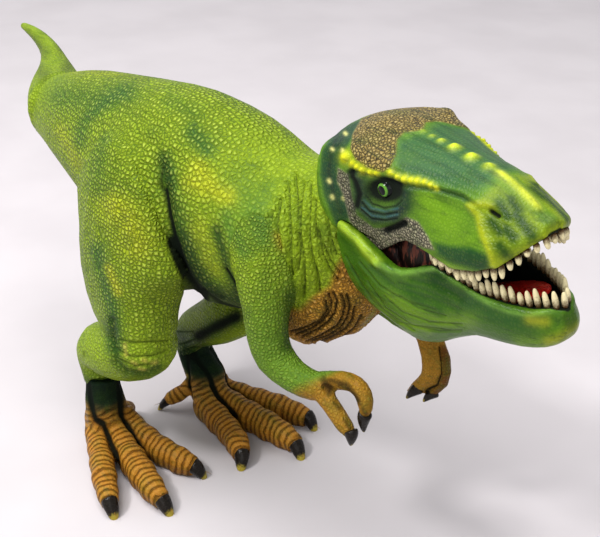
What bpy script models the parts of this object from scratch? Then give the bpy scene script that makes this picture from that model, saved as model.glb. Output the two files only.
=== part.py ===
"""Hard plastic toy dinosaur: a two-legged meat eater that stands on its feet, with a lower jaw that
swings on a pin across the back of the head.

Metres, +X towards the snout, +Y towards the animal's left side, +Z up, the ground at z = 0.
The figure is glued together from mouldings, and most have a peg that finds its neighbour.
"""

import math

import bmesh
import bpy
from mathutils import Euler, Matrix, Vector

# Clearances and cuts
SEAT_GAP = 0.0003          # between glued mouldings
RUNNING_GAP = 0.0004       # round everything that the jaw passes
PIN_GAP = 0.0002           # round the hinge pin
OVERRUN = 0.004            # how far every cutter runs past what it cuts
WELD = 0.00001             # corners nearer than this become one

# Torso and neck
SPINE_HEIGHT = 0.091
TORSO_LENGTH = 0.155
TORSO_WIDTH = 0.045
TORSO_DEPTH = 0.061
TAIL_JOINT_REACH = 0.070   # hips to tail joint

# Tail
TAIL_LENGTH = 0.071
TAIL_SWAY = 0.020          # towards the animal's left
TAIL_RISE = 0.012
TAIL_PEG_RADIUS = 0.006
TAIL_PEG_LENGTH = 0.008

# Legs, each a thigh and a shank in one
HIP_HEIGHT = 0.100
HIP_SIDEWAYS = -0.002      # midline of the hips, with the body swung a little to its right
LEG_REACH = 0.040
LEG_SPREAD = 0.030
THIGH_WIDTH = 0.026
THIGH_LENGTH = 0.050
SHANK_WIDTH = 0.019
HIP_PEG_RADIUS = 0.005
HIP_PEG_LENGTH = 0.005

# Feet
FOOT_LENGTH = 0.046
FOOT_WIDTH = 0.036
INSTEP_HEIGHT = 0.030
INSTEP_WIDTH = 0.014
TOE_WIDTH = 0.0086
LEFT_FOOT_TURN = math.radians(5)
ANKLE_PEG_RADIUS = 0.0025
ANKLE_PEG_LENGTH = 0.005

# Arms
SHOULDER_HEIGHT = 0.092
SHOULDER_SINK = 0.0012     # how far the arms sit inside the chest's sides
ARM_REACH = 0.038
ARM_SPREAD = 0.010
ARM_DROP = 0.046
ARM_WIDTH = 0.013
FINGER_WIDTH = 0.0058
ARM_PEG_RADIUS = 0.003
ARM_PEG_LENGTH = 0.004

# Head, measured from the hinge axis
HEAD_LENGTH = 0.055
HEAD_WIDTH = 0.030
HEAD_HEIGHT = 0.030
HEAD_FORWARD = 0.006       # hinge ahead of the end of the neck
HEAD_SIDEWAYS = 0.0015
HEAD_DROP = 0.009
HEAD_YAW = math.radians(-6.7)
HEAD_PITCH = math.radians(11.5)
HEAD_ROLL = math.radians(11)
LIP_WALL = 0.0022
LINING_WALL = 0.0014

# Lower jaw and its hinge
JAW_LENGTH = 0.0545
JAW_WIDTH = 0.030
JAW_DEPTH = 0.026
JAW_WALL = 0.0025
JAW_FLOOR = 0.0035
JAW_CLOSING = math.radians(8)
JAW_OPENING = math.radians(6)
PIN_RADIUS = 0.0015
PIN_SKIN = 0.0011          # plastic left between each end of the pin and the outside
HINGE_BOSS_WALL = 0.0022

# Teeth and tongue
TOOTH_WIDTH = 0.0023
UPPER_TOOTH_HEIGHT = 0.0034
LOWER_TOOTH_HEIGHT = 0.0034
UPPER_TOOTH_COUNT = 22
LOWER_TOOTH_COUNT = 22
TONGUE_LENGTH = 0.036
TONGUE_WIDTH = 0.011
TONGUE_THICKNESS = 0.0030

SHARP_ANGLE = math.radians(38)

# Stations of the limbs: forward, sideways, height, half width, front and back,
# as shares of the sizes named beside each table
TORSO_SIZES = (TORSO_LENGTH, TORSO_WIDTH, SPINE_HEIGHT, TORSO_WIDTH, TORSO_DEPTH, TORSO_DEPTH)
TORSO_SHARES = (
    (0, -0.02, 1, 0.26, 0.22, 0.19),
    (0.09, -0.02, 1, 0.33, 0.29, 0.2),
    (0.19, -0.04, 1, 0.39, 0.36, 0.21),
    (0.32, -0.04, 0.99, 0.46, 0.43, 0.3),
    (0.45, -0.04, 0.99, 0.49, 0.48, 0.42),
    (0.58, -0.02, 1, 0.5, 0.5, 0.51),
    (0.7, 0.02, 1.01, 0.49, 0.45, 0.49),
    (0.79, 0.07, 1.02, 0.43, 0.37, 0.44),
    (0.86, 0.11, 1.05, 0.36, 0.31, 0.39),
    (0.93, 0.16, 1.11, 0.3, 0.25, 0.3),
    (0.97, 0.18, 1.16, 0.26, 0.21, 0.18),
    (1, 0.21, 1.23, 0.22, 0.17, 0.13),
)
DEWLAP_SHARES = (
    (0.95, 0.18, 1.05, 0.2, 0.13, 0.15),
    (0.94, 0.17, 0.95, 0.26, 0.17, 0.18),
    (0.9, 0.15, 0.85, 0.3, 0.2, 0.21),
    (0.85, 0.12, 0.78, 0.29, 0.18, 0.2),
    (0.8, 0.09, 0.76, 0.2, 0.13, 0.13),
)
TAIL_SIZES = (-TAIL_LENGTH, TAIL_SWAY, TAIL_RISE, TORSO_WIDTH, TORSO_DEPTH, TORSO_DEPTH)
TAIL_SHARES = (
    (-0.08, 0, 0, 0.26, 0.22, 0.19),
    (0, 0, 0, 0.26, 0.22, 0.19),
    (0.14, 0.15, 0.08, 0.23, 0.19, 0.16),
    (0.28, 0.39, 0.27, 0.19, 0.155, 0.13),
    (0.41, 0.6, 0.5, 0.13, 0.105, 0.1),
    (0.55, 0.77, 0.74, 0.083, 0.066, 0.075),
    (0.72, 0.88, 0.92, 0.062, 0.046, 0.05),
    (0.87, 0.93, 1, 0.047, 0.034, 0.034),
    (1, 0.97, 1, 0.03, 0.02, 0.02),
)
THIGH_SIZES = (LEG_REACH, LEG_SPREAD, HIP_HEIGHT, THIGH_WIDTH, THIGH_LENGTH, THIGH_LENGTH)
THIGH_SHARES = (
    (0.33, 0.15, 1.15, 0.06, 0.07, 0.07),
    (0.31, 0.21, 1.11, 0.2, 0.2, 0.2),
    (0.28, 0.35, 1.02, 0.4, 0.38, 0.34),
    (0.25, 0.47, 0.92, 0.5, 0.48, 0.44),
    (0.23, 0.55, 0.8, 0.52, 0.54, 0.48),
    (0.25, 0.63, 0.69, 0.48, 0.5, 0.48),
    (0.35, 0.68, 0.59, 0.42, 0.34, 0.44),
    (0.47, 0.7, 0.51, 0.35, 0.23, 0.26),
    (0.53, 0.7, 0.45, 0.14, 0.09, 0.09),
)
SHANK_SIZES = (LEG_REACH, LEG_SPREAD, HIP_HEIGHT, SHANK_WIDTH)
RIGHT_SHANK_SHARES = (
    (0.7, 0.69, 0.52, 0.16),
    (0.61, 0.7, 0.51, 0.4),
    (0.4, 0.73, 0.46, 0.53),
    (0.15, 0.8, 0.41, 0.5),
    (-0.07, 0.83, 0.38, 0.43),
    (-0.16, 0.83, 0.33, 0.35),
    (-0.13, 0.83, 0.27, 0.31),
)
LEFT_SHANK_SHARES = (
    (0.65, 0.56, 0.51, 0.16),
    (0.56, 0.54, 0.5, 0.4),
    (0.35, 0.5, 0.46, 0.5),
    (0.12, 0.44, 0.38, 0.44),
    (-0.1, 0.41, 0.32, 0.38),
    (-0.24, 0.41, 0.27, 0.34),
    (-0.26, 0.42, 0.21, 0.31),
)
BALL_SIZES = (LEG_REACH, LEG_SPREAD, HIP_HEIGHT)
RIGHT_BALL_SHARES = (-0.1, 0.83, 0)
LEFT_BALL_SHARES = (-0.03, 0.45, 0)
INSTEP_RADIUS_SHARES = (0.42, 0.5, 0.46)
TOE_SIZES = (FOOT_LENGTH, FOOT_WIDTH, INSTEP_HEIGHT, TOE_WIDTH, TOE_WIDTH, TOE_WIDTH)
OUTER_TOE_SHARES = (
    (-0.12, 0.03, 0.4, 0.4, 0.4, 0.4),
    (-0.04, 0.09, 0.23, 0.47, 0.47, 0.9),
    (0.2, 0.22, 0.18, 0.47, 0.47, 0.76),
    (0.45, 0.36, 0.17, 0.45, 0.45, 0.72),
    (0.67, 0.46, 0.13, 0.31, 0.31, 0.5),
    (0.78, 0.48, 0.04, 0.07, 0.07, 0.1),
)
MIDDLE_TOE_SHARES = (
    (-0.05, -0.03, 0.43, 0.44, 0.44, 0.44),
    (0.06, -0.02, 0.27, 0.5, 0.5, 1.05),
    (0.31, 0.03, 0.2, 0.5, 0.5, 0.84),
    (0.6, 0.08, 0.18, 0.49, 0.49, 0.78),
    (0.83, 0.1, 0.14, 0.34, 0.34, 0.54),
    (0.97, 0.07, 0.04, 0.07, 0.07, 0.1),
)
INNER_TOE_SHARES = (
    (0.02, -0.14, 0.4, 0.4, 0.4, 0.4),
    (0.1, -0.17, 0.25, 0.47, 0.47, 0.98),
    (0.35, -0.22, 0.19, 0.45, 0.45, 0.8),
    (0.56, -0.29, 0.17, 0.44, 0.44, 0.72),
    (0.69, -0.37, 0.13, 0.31, 0.31, 0.5),
    (0.76, -0.47, 0.04, 0.07, 0.07, 0.1),
)
BACK_TOE_SHARES = (
    (-0.07, -0.11, 0.4, 0.33, 0.33, 0.33),
    (-0.11, -0.22, 0.27, 0.3, 0.3, 0.3),
    (-0.17, -0.33, 0.17, 0.26, 0.26, 0.3),
    (-0.28, -0.43, 0.05, 0.08, 0.08, 0.1),
)
ARM_SIZES = (ARM_REACH, ARM_SPREAD, ARM_DROP, ARM_WIDTH)
RIGHT_ARM_SHARES = (
    (-0.13, -0.5, 0.19, 0.3),
    (-0.08, -0.3, 0.12, 0.62),
    (0.03, 0.2, -0.07, 0.64),
    (0.14, 0.5, -0.26, 0.48),
    (0.19, 0.6, -0.41, 0.42),
    (0.26, 0.55, -0.54, 0.4),
    (0.42, 0.4, -0.61, 0.36),
    (0.58, 0.2, -0.62, 0.33),
    (0.68, 0.05, -0.6, 0.28),
)
LEFT_ARM_SHARES = (
    (-0.13, -0.5, 0.19, 0.3),
    (-0.08, -0.3, 0.12, 0.62),
    (0.03, 0.2, -0.07, 0.64),
    (0.13, 0.4, -0.24, 0.53),
    (0.18, 0.5, -0.37, 0.46),
    (0.29, 0.45, -0.48, 0.41),
    (0.45, 0.45, -0.51, 0.36),
    (0.61, 0.4, -0.51, 0.33),
    (0.7, 0.4, -0.54, 0.28),
)
FINGER_SIZES = (ARM_REACH, ARM_SPREAD, ARM_DROP, FINGER_WIDTH)
RIGHT_FINGER_SHARES = (
    (
        (0.58, 0, -0.6, 0.52),
        (0.76, -0.1, -0.53, 0.52),
        (0.88, -0.15, -0.51, 0.5),
        (0.96, -0.15, -0.54, 0.48),
        (1, -0.1, -0.61, 0.4),
        (0.96, -0.1, -0.72, 0.1),
    ),
    (
        (0.61, 0.2, -0.62, 0.52),
        (0.75, 0.2, -0.67, 0.5),
        (0.87, 0.2, -0.73, 0.48),
        (0.93, 0.2, -0.76, 0.4),
        (0.97, 0.2, -0.82, 0.1),
    ),
)
LEFT_FINGER_SHARES = (
    (
        (0.63, 0.3, -0.52, 0.52),
        (0.71, 0.3, -0.66, 0.5),
        (0.71, 0.3, -0.8, 0.48),
        (0.6, 0.3, -0.92, 0.4),
        (0.49, 0.3, -1, 0.1),
    ),
    (
        (0.66, 0.45, -0.52, 0.52),
        (0.78, 0.5, -0.67, 0.5),
        (0.77, 0.55, -0.83, 0.48),
        (0.64, 0.55, -0.95, 0.4),
        (0.55, 0.55, -0.98, 0.1),
    ),
)
TONGUE_SIZES = (TONGUE_LENGTH, TONGUE_WIDTH, JAW_DEPTH, TONGUE_WIDTH, TONGUE_THICKNESS, TONGUE_THICKNESS)
TONGUE_SHARES = (
    (0.3, 0, -0.62, 0.36, 0.5, 2.6),
    (0.55, 0, -0.52, 0.48, 0.5, 2.4),
    (0.8, 0, -0.4, 0.5, 0.5, 1.8),
    (1.1, 0, -0.28, 0.46, 0.5, 0.8),
    (1.28, 0, -0.22, 0.32, 0.4, 0.4),
    (1.34, 0, -0.21, 0.12, 0.15, 0.15),
)

# Head: forward of the hinge, crown height, brow half width and height, cheek half width and
# height, lip half width and height, height of the hem of the mouth lining, and height of the palate
HEAD_SIZES = (
    HEAD_LENGTH, HEAD_HEIGHT, HEAD_WIDTH, HEAD_HEIGHT, HEAD_WIDTH, HEAD_HEIGHT,
    HEAD_WIDTH, HEAD_HEIGHT, HEAD_HEIGHT, HEAD_HEIGHT,
)
HEAD_SHARES = (
    (-0.23, 0.82, 0.37, 0.67, 0.47, 0.33, 0.37, 0, -0.1, 0.25),
    (-0.15, 0.92, 0.42, 0.77, 0.52, 0.37, 0.43, -0.08, -0.2, 0.17),
    (-0.02, 0.97, 0.43, 0.83, 0.51, 0.4, 0.41, -0.12, -0.24, 0.13),
    (0.11, 0.99, 0.44, 0.84, 0.48, 0.4, 0.41, 0.02, -0.25, 0.27),
    (0.23, 0.95, 0.43, 0.8, 0.46, 0.4, 0.43, 0.12, -0.25, 0.37),
    (0.36, 0.89, 0.39, 0.73, 0.45, 0.37, 0.43, 0.22, -0.22, 0.47),
    (0.5, 0.83, 0.33, 0.65, 0.45, 0.32, 0.43, 0.18, -0.1, 0.43),
    (0.62, 0.77, 0.28, 0.59, 0.43, 0.27, 0.41, 0.09, 0.16, 0.34),
    (0.75, 0.7, 0.25, 0.55, 0.4, 0.27, 0.37, 0.1, 0.2, 0.35),
    (0.86, 0.59, 0.21, 0.47, 0.33, 0.29, 0.31, 0.16, 0.24, 0.36),
    (0.95, 0.47, 0.15, 0.41, 0.23, 0.33, 0.21, 0.27, 0.29, 0.37),
    (1, 0.42, 0.06, 0.4, 0.09, 0.37, 0.08, 0.33, 0.33, 0.37),
)
PALATE_START_SHARE = 0.14
UPPER_TEETH_START_SHARE = 0.5

# Lower jaw: forward of the hinge, rim half width and height, side half width and height, floor
JAW_SIZES = (JAW_LENGTH, JAW_WIDTH, JAW_DEPTH, JAW_WIDTH, JAW_DEPTH, JAW_DEPTH)
JAW_SHARES = (
    (-0.115, 0.52, 0.14, 0.51, -0.3, -0.72),
    (-0.05, 0.52, 0.3, 0.51, -0.31, -0.83),
    (0.04, 0.52, 0.22, 0.51, -0.31, -0.92),
    (0.145, 0.51, 0.1, 0.5, -0.38, -1),
    (0.24, 0.47, -0.06, 0.48, -0.42, -0.98),
    (0.345, 0.41, -0.05, 0.45, -0.42, -0.88),
    (0.44, 0.37, 0.02, 0.41, -0.38, -0.8),
    (0.55, 0.32, -0.1, 0.36, -0.37, -0.73),
    (0.675, 0.3, -0.18, 0.33, -0.4, -0.71),
    (0.795, 0.25, -0.22, 0.28, -0.42, -0.7),
    (0.895, 0.18, -0.25, 0.21, -0.44, -0.66),
    (0.965, 0.11, -0.26, 0.14, -0.44, -0.58),
    (1, 0.04, -0.28, 0.06, -0.42, -0.48),
)
LOWER_TEETH_START_SHARE = 0.44

LEFT = 1
RIGHT = -1


# Shapes

def curve_through(rows, steps):
    """Rows of numbers on a smooth curve through the given rows."""
    last = len(rows) - 1
    found = []
    for index in range(last):
        before, start, end, after = (rows[min(max(index + k, 0), last)] for k in (-1, 0, 1, 2))
        for step in range(steps):
            t = step / steps
            found.append([
                b + t * (c - a + t * (2 * a - 5 * b + 4 * c - d + t * (3 * b - a - 3 * c + d))) / 2
                for a, b, c, d in zip(before, start, end, after)
            ])
    found.append(list(rows[last]))
    return found


def stations(shares, sizes, origin=(0, 0, 0), side=LEFT):
    """Real stations from a table of shares; a round one gets its one radius three times."""
    found = []
    for row in shares:
        values = [share * size for share, size in zip(row, sizes)]
        place = Vector(origin) + Vector((values[0], side * values[1], values[2]))
        radii = [values[3]] * 3 if len(values) == 4 else values[3:]
        found.append([*place, *radii])
    return found


def tube_rings(rows, sides, grow=0.0):
    """Oval rings square to the path through the stations."""
    last = len(rows) - 1
    rings = []
    for index, row in enumerate(rows):
        along = Vector(rows[min(index + 1, last)][:3]) - Vector(rows[max(index - 1, 0)][:3])
        along.normalize()
        across = Vector((0, 1, 0)) - along * along.y
        across.normalize()
        up = along.cross(across)
        centre = Vector(row[:3])
        if index == 0:
            centre -= along * grow
        if index == last:
            centre += along * grow
        half_width, front, back = (radius + grow for radius in row[3:6])
        ring = []
        for step in range(sides):
            angle = 2 * math.pi * step / sides
            rise = math.sin(angle) * (front if math.sin(angle) > 0 else back)
            ring.append(centre + across * math.cos(angle) * half_width + up * rise)
        rings.append(ring)
    return rings


def add_solid(name, rings):
    """One closed body skinned over rings that all have as many points."""
    shape = bmesh.new()
    loops = [[shape.verts.new(point) for point in ring] for ring in rings]
    count = len(loops[0])
    for one, two in zip(loops, loops[1:]):
        for k in range(count):
            shape.faces.new((one[k - 1], one[k], two[k], two[k - 1]))
    shape.faces.new(loops[0])
    shape.faces.new(loops[-1])
    bmesh.ops.recalc_face_normals(shape, faces=shape.faces)
    return add_object(name, shape)


def add_object(name, shape):
    mesh = bpy.data.meshes.new(name)
    shape.to_mesh(mesh)
    shape.free()
    thing = bpy.data.objects.new(name, mesh)
    bpy.context.collection.objects.link(thing)
    return thing


def add_tube(name, rows, sides, steps, grow=0.0):
    return add_solid(name, tube_rings(curve_through(rows, steps), sides, grow))


def add_bar(name, start, end, radius, sides=20):
    """A round bar between two points."""
    start, end = Vector(start), Vector(end)
    shape = bmesh.new()
    bmesh.ops.create_cone(shape, cap_ends=True, segments=sides, radius1=radius, radius2=radius,
                          depth=(end - start).length)
    turn = Vector((0, 0, 1)).rotation_difference(end - start).to_matrix().to_4x4()
    shape.transform(Matrix.Translation((start + end) / 2) @ turn)
    return add_object(name, shape)


def combine(target, tool, operation):
    """Joins the tool to the target, or cuts it away, and takes the tool off the scene."""
    bpy.context.view_layer.update()
    change = target.modifiers.new(operation, "BOOLEAN")
    change.operation = operation
    change.solver = "EXACT"
    change.object = tool
    with bpy.context.temp_override(object=target):
        bpy.ops.object.modifier_apply(modifier=change.name)
    bpy.data.objects.remove(tool, do_unlink=True)


def join(target, *tools):
    for tool in tools:
        combine(target, tool, "UNION")


def cut(target, *tools):
    for tool in tools:
        combine(target, tool, "DIFFERENCE")


def cut_flat(thing, point, outward):
    """Cuts a solid off at a plane and closes it there."""
    shape = bmesh.new()
    shape.from_mesh(thing.data)
    parts = shape.verts[:] + shape.edges[:] + shape.faces[:]
    found = bmesh.ops.bisect_plane(shape, geom=parts, plane_co=point, plane_no=outward, clear_outer=True)
    rim = [part for part in found["geom_cut"] if isinstance(part, bmesh.types.BMEdge)]
    bmesh.ops.holes_fill(shape, edges=rim)
    bmesh.ops.recalc_face_normals(shape, faces=shape.faces)
    shape.to_mesh(thing.data)
    shape.free()


# Torso, neck and tail

def torso_origin():
    return (-TAIL_JOINT_REACH, 0, 0)


def torso_rows():
    return stations(TORSO_SHARES, TORSO_SIZES, torso_origin())


def add_torso(name, grow=0.0):
    torso = add_tube(name, torso_rows(), 24, 2, grow)
    dewlap_rows = stations(DEWLAP_SHARES, TORSO_SIZES, torso_origin())
    join(torso, add_tube("dewlap", dewlap_rows, 18, 2, grow))
    return torso


def tail_joint():
    return Vector(torso_rows()[0][:3])


def neck_end():
    return Vector(torso_rows()[-1][:3])


def add_tail_peg(name, grow=0.0):
    root = tail_joint()
    start = root - Vector((TAIL_PEG_LENGTH, 0, 0))
    end = root + Vector((TAIL_PEG_LENGTH + grow, 0, 0))
    return add_bar(name, start, end, TAIL_PEG_RADIUS + grow)


def add_tail():
    root = tail_joint()
    tail = add_tube("tail", stations(TAIL_SHARES, TAIL_SIZES, root), 18, 2)
    cut_flat(tail, root - Vector((SEAT_GAP, 0, 0)), (1, 0, 0))
    join(tail, add_tail_peg("peg"))
    return tail


# Legs and feet

def hip_origin():
    return Vector((0, HIP_SIDEWAYS, 0))


def shank_rows(shank_shares, side):
    return stations(shank_shares, SHANK_SIZES, hip_origin(), side)


def ankle(shank_shares, side):
    """Where the foot is glued on: the last station of the shank."""
    return Vector(shank_rows(shank_shares, side)[-1][:3])


def add_hip_peg(name, side, grow=0.0):
    hip = stations(THIGH_SHARES, THIGH_SIZES, hip_origin(), side)[3]
    inner = HIP_SIDEWAYS + side * (TORSO_WIDTH / 2 - HIP_PEG_LENGTH - grow)
    outer = HIP_SIDEWAYS + side * (TORSO_WIDTH / 2 + HIP_PEG_LENGTH / 2)
    return add_bar(name, (hip[0], inner, hip[2]), (hip[0], outer, hip[2]), HIP_PEG_RADIUS + grow)


def add_ankle_peg(name, joint, grow=0.0):
    start = joint - Vector((0, 0, ANKLE_PEG_LENGTH))
    end = joint + Vector((0, 0, ANKLE_PEG_LENGTH + grow))
    return add_bar(name, start, end, ANKLE_PEG_RADIUS + grow, 12)


def add_leg(name, shank_shares, side):
    leg = add_tube(name, stations(THIGH_SHARES, THIGH_SIZES, hip_origin(), side), 20, 2)
    join(leg, add_tube("shank", shank_rows(shank_shares, side), 16, 2))
    cut(leg, add_torso("torso_room", SEAT_GAP))
    joint = ankle(shank_shares, side)
    cut_flat(leg, joint, (0, 0, -1))
    join(leg, add_hip_peg("peg", side))
    cut(leg, add_ankle_peg("socket", joint, SEAT_GAP))
    return leg


def instep_rows(joint, ball):
    """The instep leans from the ball of the foot up to the ankle."""
    knuckle = ball + Vector((0, 0, INSTEP_WIDTH / 2))
    places = (ball - Vector((0, 0, OVERRUN)), knuckle, knuckle.lerp(joint, 0.5))
    rows = [[*spot, *[share * INSTEP_WIDTH] * 3] for spot, share in zip(places, INSTEP_RADIUS_SHARES)]
    ankle_radius = SHANK_WIDTH * RIGHT_SHANK_SHARES[-1][3]
    for spot in (joint, joint + Vector((0, 0, OVERRUN))):
        rows.append([*spot, *[ankle_radius] * 3])
    return rows


def add_foot(name, joint, ball, turn, side):
    """A foot whose toes start round the ball, turned about it, with the instep up to the ankle."""
    foot = add_tube(name, instep_rows(joint, ball), 14, 2)
    turning = Matrix.Translation(ball) @ Matrix.Rotation(side * turn, 4, "Z") @ Matrix.Translation(-ball)
    for toe_shares in (OUTER_TOE_SHARES, MIDDLE_TOE_SHARES, INNER_TOE_SHARES, BACK_TOE_SHARES):
        toe = add_tube("toe", stations(toe_shares, TOE_SIZES, ball, side), 12, 2)
        toe.data.transform(turning)
        join(foot, toe)
    cut_flat(foot, joint - Vector((0, 0, SEAT_GAP)), (0, 0, 1))
    cut_flat(foot, (0, 0, 0), (0, 0, -1))
    join(foot, add_ankle_peg("peg", joint))
    return foot


# Arms

def shoulder(side):
    chest = torso_rows()[8]
    return Vector((chest[0], chest[1] + side * (chest[3] - SHOULDER_SINK), SHOULDER_HEIGHT))


def add_arm_peg(name, side, grow=0.0):
    joint = shoulder(side)
    inward = Vector((0, -side, 0))
    start = joint - inward * ARM_PEG_LENGTH
    end = joint + inward * (ARM_PEG_LENGTH + grow)
    return add_bar(name, start, end, ARM_PEG_RADIUS + grow, 12)


def add_arm(name, arm_shares, finger_shares, side):
    joint = shoulder(side)
    arm = add_tube(name, stations(arm_shares, ARM_SIZES, joint, side), 14, 2)
    for shares in finger_shares:
        join(arm, add_tube("finger", stations(shares, FINGER_SIZES, joint, side), 10, 2))
    cut(arm, add_torso("torso_room", SEAT_GAP))
    join(arm, add_arm_peg("peg", side))
    return arm


# Head, in its own frame with the hinge axis along Y through the origin

def mirror_outline(half):
    """An outline from its right half, which runs from the middle out to the end."""
    return [(-y, z) for y, z in reversed(half[1:])] + list(half)


def head_ring(row):
    x, crown, brow_y, brow_z, cheek_y, cheek_z, lip_y, lip_z = row[:8]
    half = [
        (0, crown), (brow_y * 0.62, (2 * crown + brow_z) / 3), (brow_y, brow_z),
        (cheek_y, cheek_z), (lip_y, lip_z),
    ]
    outline = curve_through(mirror_outline(half), 3)
    return [Vector((x, y, z)) for y, z in outline] + [Vector((x, 0, lip_z))]


def head_rows():
    rows = [[share * size for share, size in zip(row, HEAD_SIZES)] for row in HEAD_SHARES]
    return curve_through(rows, 2)


def jaw_rows():
    rows = [[share * size for share, size in zip(row, JAW_SIZES)] for row in JAW_SHARES]
    return curve_through(rows, 2)


def palate_arch(x, width, top, hem):
    """The arch over the mouth at one station, from its top down to its hem."""
    half = [(0, top), (width * 0.6, (top * 8 + hem) / 9), (width, (top + hem) / 2), (width, hem)]
    return [Vector((x, y, z)) for y, z in curve_through(mirror_outline(half), 2)]


def palate_rows():
    """The head's stations over the mouth, as far forward as the lips leave room."""
    start = PALATE_START_SHARE * HEAD_LENGTH
    room = 2 * LIP_WALL
    return [row for row in head_rows() if row[0] > start and row[6] > room]


def add_mouth_room():
    rings = []
    for row in palate_rows():
        lip_y, lip_z = row[6:8]
        rings.append(palate_arch(row[0], lip_y - LIP_WALL, row[9], lip_z - OVERRUN))
    return add_solid("mouth_room", rings)


def jaw_inside(x):
    """Half the width between the walls of the jaw at one station."""
    nearest = min(jaw_rows(), key=lambda row: abs(row[0] - x))
    return min(nearest[1], nearest[3]) - JAW_WALL


def add_lining():
    """A thin arched lining under the roof of the mouth, with skirts that close the mouth's corners."""
    rings = []
    for row in palate_rows()[1:-1]:
        x, lip_y, hem = row[0], row[6], row[8]
        top = row[9] - SEAT_GAP
        width = min(lip_y - LIP_WALL - SEAT_GAP, jaw_inside(x) - RUNNING_GAP)
        outer = palate_arch(x, width, top, hem)
        inner = palate_arch(x, width - LINING_WALL, top - LINING_WALL, hem)
        rings.append(outer + inner[::-1])
    return add_solid("mouth_lining", rings)


def jaw_outline(rim_y, rim_z, side_y, side_z, floor):
    half = [(0, floor), (side_y * 0.66, (floor * 5 + side_z) / 6), (side_y, side_z), (rim_y, rim_z)]
    return curve_through(mirror_outline(half), 3)


def add_jaw_shell(name, grow=0.0):
    """The jaw: an outer hull, hollowed from above and open behind between its two ears."""
    rings = []
    for x, rim_y, rim_z, side_y, side_z, floor in jaw_rows():
        outline = jaw_outline(rim_y + grow, rim_z + grow, side_y + grow, side_z, floor - grow)
        rings.append([Vector((x, y, z)) for y, z in outline])
    for end, step in ((0, -grow), (-1, grow)):
        rings[end] = [point + Vector((step, 0, 0)) for point in rings[end]]
    jaw = add_solid(name, rings)
    wall = JAW_WALL + grow
    hollow = []
    for x, rim_y, rim_z, side_y, side_z, floor in jaw_rows():
        if min(rim_y, side_y) > 2 * JAW_WALL:
            bottom = floor + JAW_FLOOR + grow
            outline = jaw_outline(rim_y - wall, rim_z + OVERRUN, side_y - wall, side_z, bottom)
            hollow.append([Vector((x, y, z)) for y, z in outline])
    hollow[0] = [point - Vector((OVERRUN, 0, 0)) for point in hollow[0]]
    cut(jaw, add_solid("jaw_room", hollow))
    return jaw


def ear_inside():
    """Half the width between the jaw's two ears, where the pin crosses."""
    return JAW_SHARES[1][1] * JAW_WIDTH - JAW_WALL


def pin_half_length():
    return JAW_SHARES[1][1] * JAW_WIDTH - PIN_SKIN


def add_pin(name, grow=0.0):
    reach = pin_half_length() + grow
    return add_bar(name, (0, -reach, 0), (0, reach, 0), PIN_RADIUS + grow, 16)


def add_hinge_boss(name, grow=0.0):
    reach = ear_inside() - RUNNING_GAP + grow
    radius = PIN_RADIUS + PIN_GAP + HINGE_BOSS_WALL + grow
    return add_bar(name, (0, -reach, 0), (0, reach, 0), radius)


def spaced(points, count):
    """Points at even distances along a line of points, each half a step in from its ends."""
    lengths = [0.0]
    for one, two in zip(points, points[1:]):
        lengths.append(lengths[-1] + (two - one).length)
    found = []
    for index in range(count):
        place = lengths[-1] * (index + 0.5) / count
        after = next(k for k, length in enumerate(lengths) if length >= place)
        share = (place - lengths[after - 1]) / (lengths[after] - lengths[after - 1])
        found.append(points[after - 1].lerp(points[after], share))
    return found


def around(rows):
    """A line from the right rear, round the front of the mouth, to the left rear."""
    right = [Vector((x, -y, z)) for x, y, z in rows]
    return right + [Vector((x, y, z)) for x, y, z in reversed(rows)]


def add_teeth(places, height, direction):
    """Blunt teeth, taller towards the front, rooted half their width deep."""
    front = max(place.x for place in places)
    back = min(place.x for place in places)
    radius = TOOTH_WIDTH / 2
    teeth = []
    for spot in places:
        tall = height * (0.6 + 0.4 * (spot.x - back) / (front - back))
        tooth = bmesh.new()
        bmesh.ops.create_cone(tooth, cap_ends=True, segments=6, radius1=radius, radius2=radius * 0.45,
                              depth=tall + radius)
        if direction < 0:
            tooth.transform(Matrix.Rotation(math.pi, 4, "X"))
        tooth.transform(Matrix.Translation(spot + Vector((0, 0, direction * (tall - radius) / 2))))
        teeth.append(add_object("tooth", tooth))
    return teeth


def add_upper_teeth():
    start = UPPER_TEETH_START_SHARE * HEAD_LENGTH
    rows = [(row[0], row[6] - LIP_WALL / 2, row[7]) for row in head_rows() if row[0] > start]
    rows = [row for row in rows if row[1] > LIP_WALL]
    return add_teeth(spaced(around(rows), UPPER_TOOTH_COUNT), UPPER_TOOTH_HEIGHT, -1)


def add_lower_teeth():
    start = LOWER_TEETH_START_SHARE * JAW_LENGTH
    rows = [(row[0], row[1] - JAW_WALL / 2, row[2]) for row in jaw_rows() if row[0] > start]
    rows = [row for row in rows if row[1] > JAW_WALL / 2]
    return add_teeth(spaced(around(rows), LOWER_TOOTH_COUNT), LOWER_TOOTH_HEIGHT, 1)


def add_jaw_sweep():
    """The room that the jaw sweeps through between its two limits."""
    turns = (-JAW_CLOSING, -JAW_CLOSING / 2, 0, JAW_OPENING / 2, JAW_OPENING)
    sweep = []
    for turn in turns:
        shell = add_jaw_shell("jaw_sweep", RUNNING_GAP)
        shell.data.transform(Matrix.Rotation(turn, 4, "Y"))
        sweep.append(shell)
    return sweep


def head_matrix():
    place = neck_end() + Vector((HEAD_FORWARD, HEAD_SIDEWAYS, -HEAD_DROP))
    return Matrix.Translation(place) @ Euler((HEAD_ROLL, -HEAD_PITCH, HEAD_YAW)).to_matrix().to_4x4()


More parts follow.
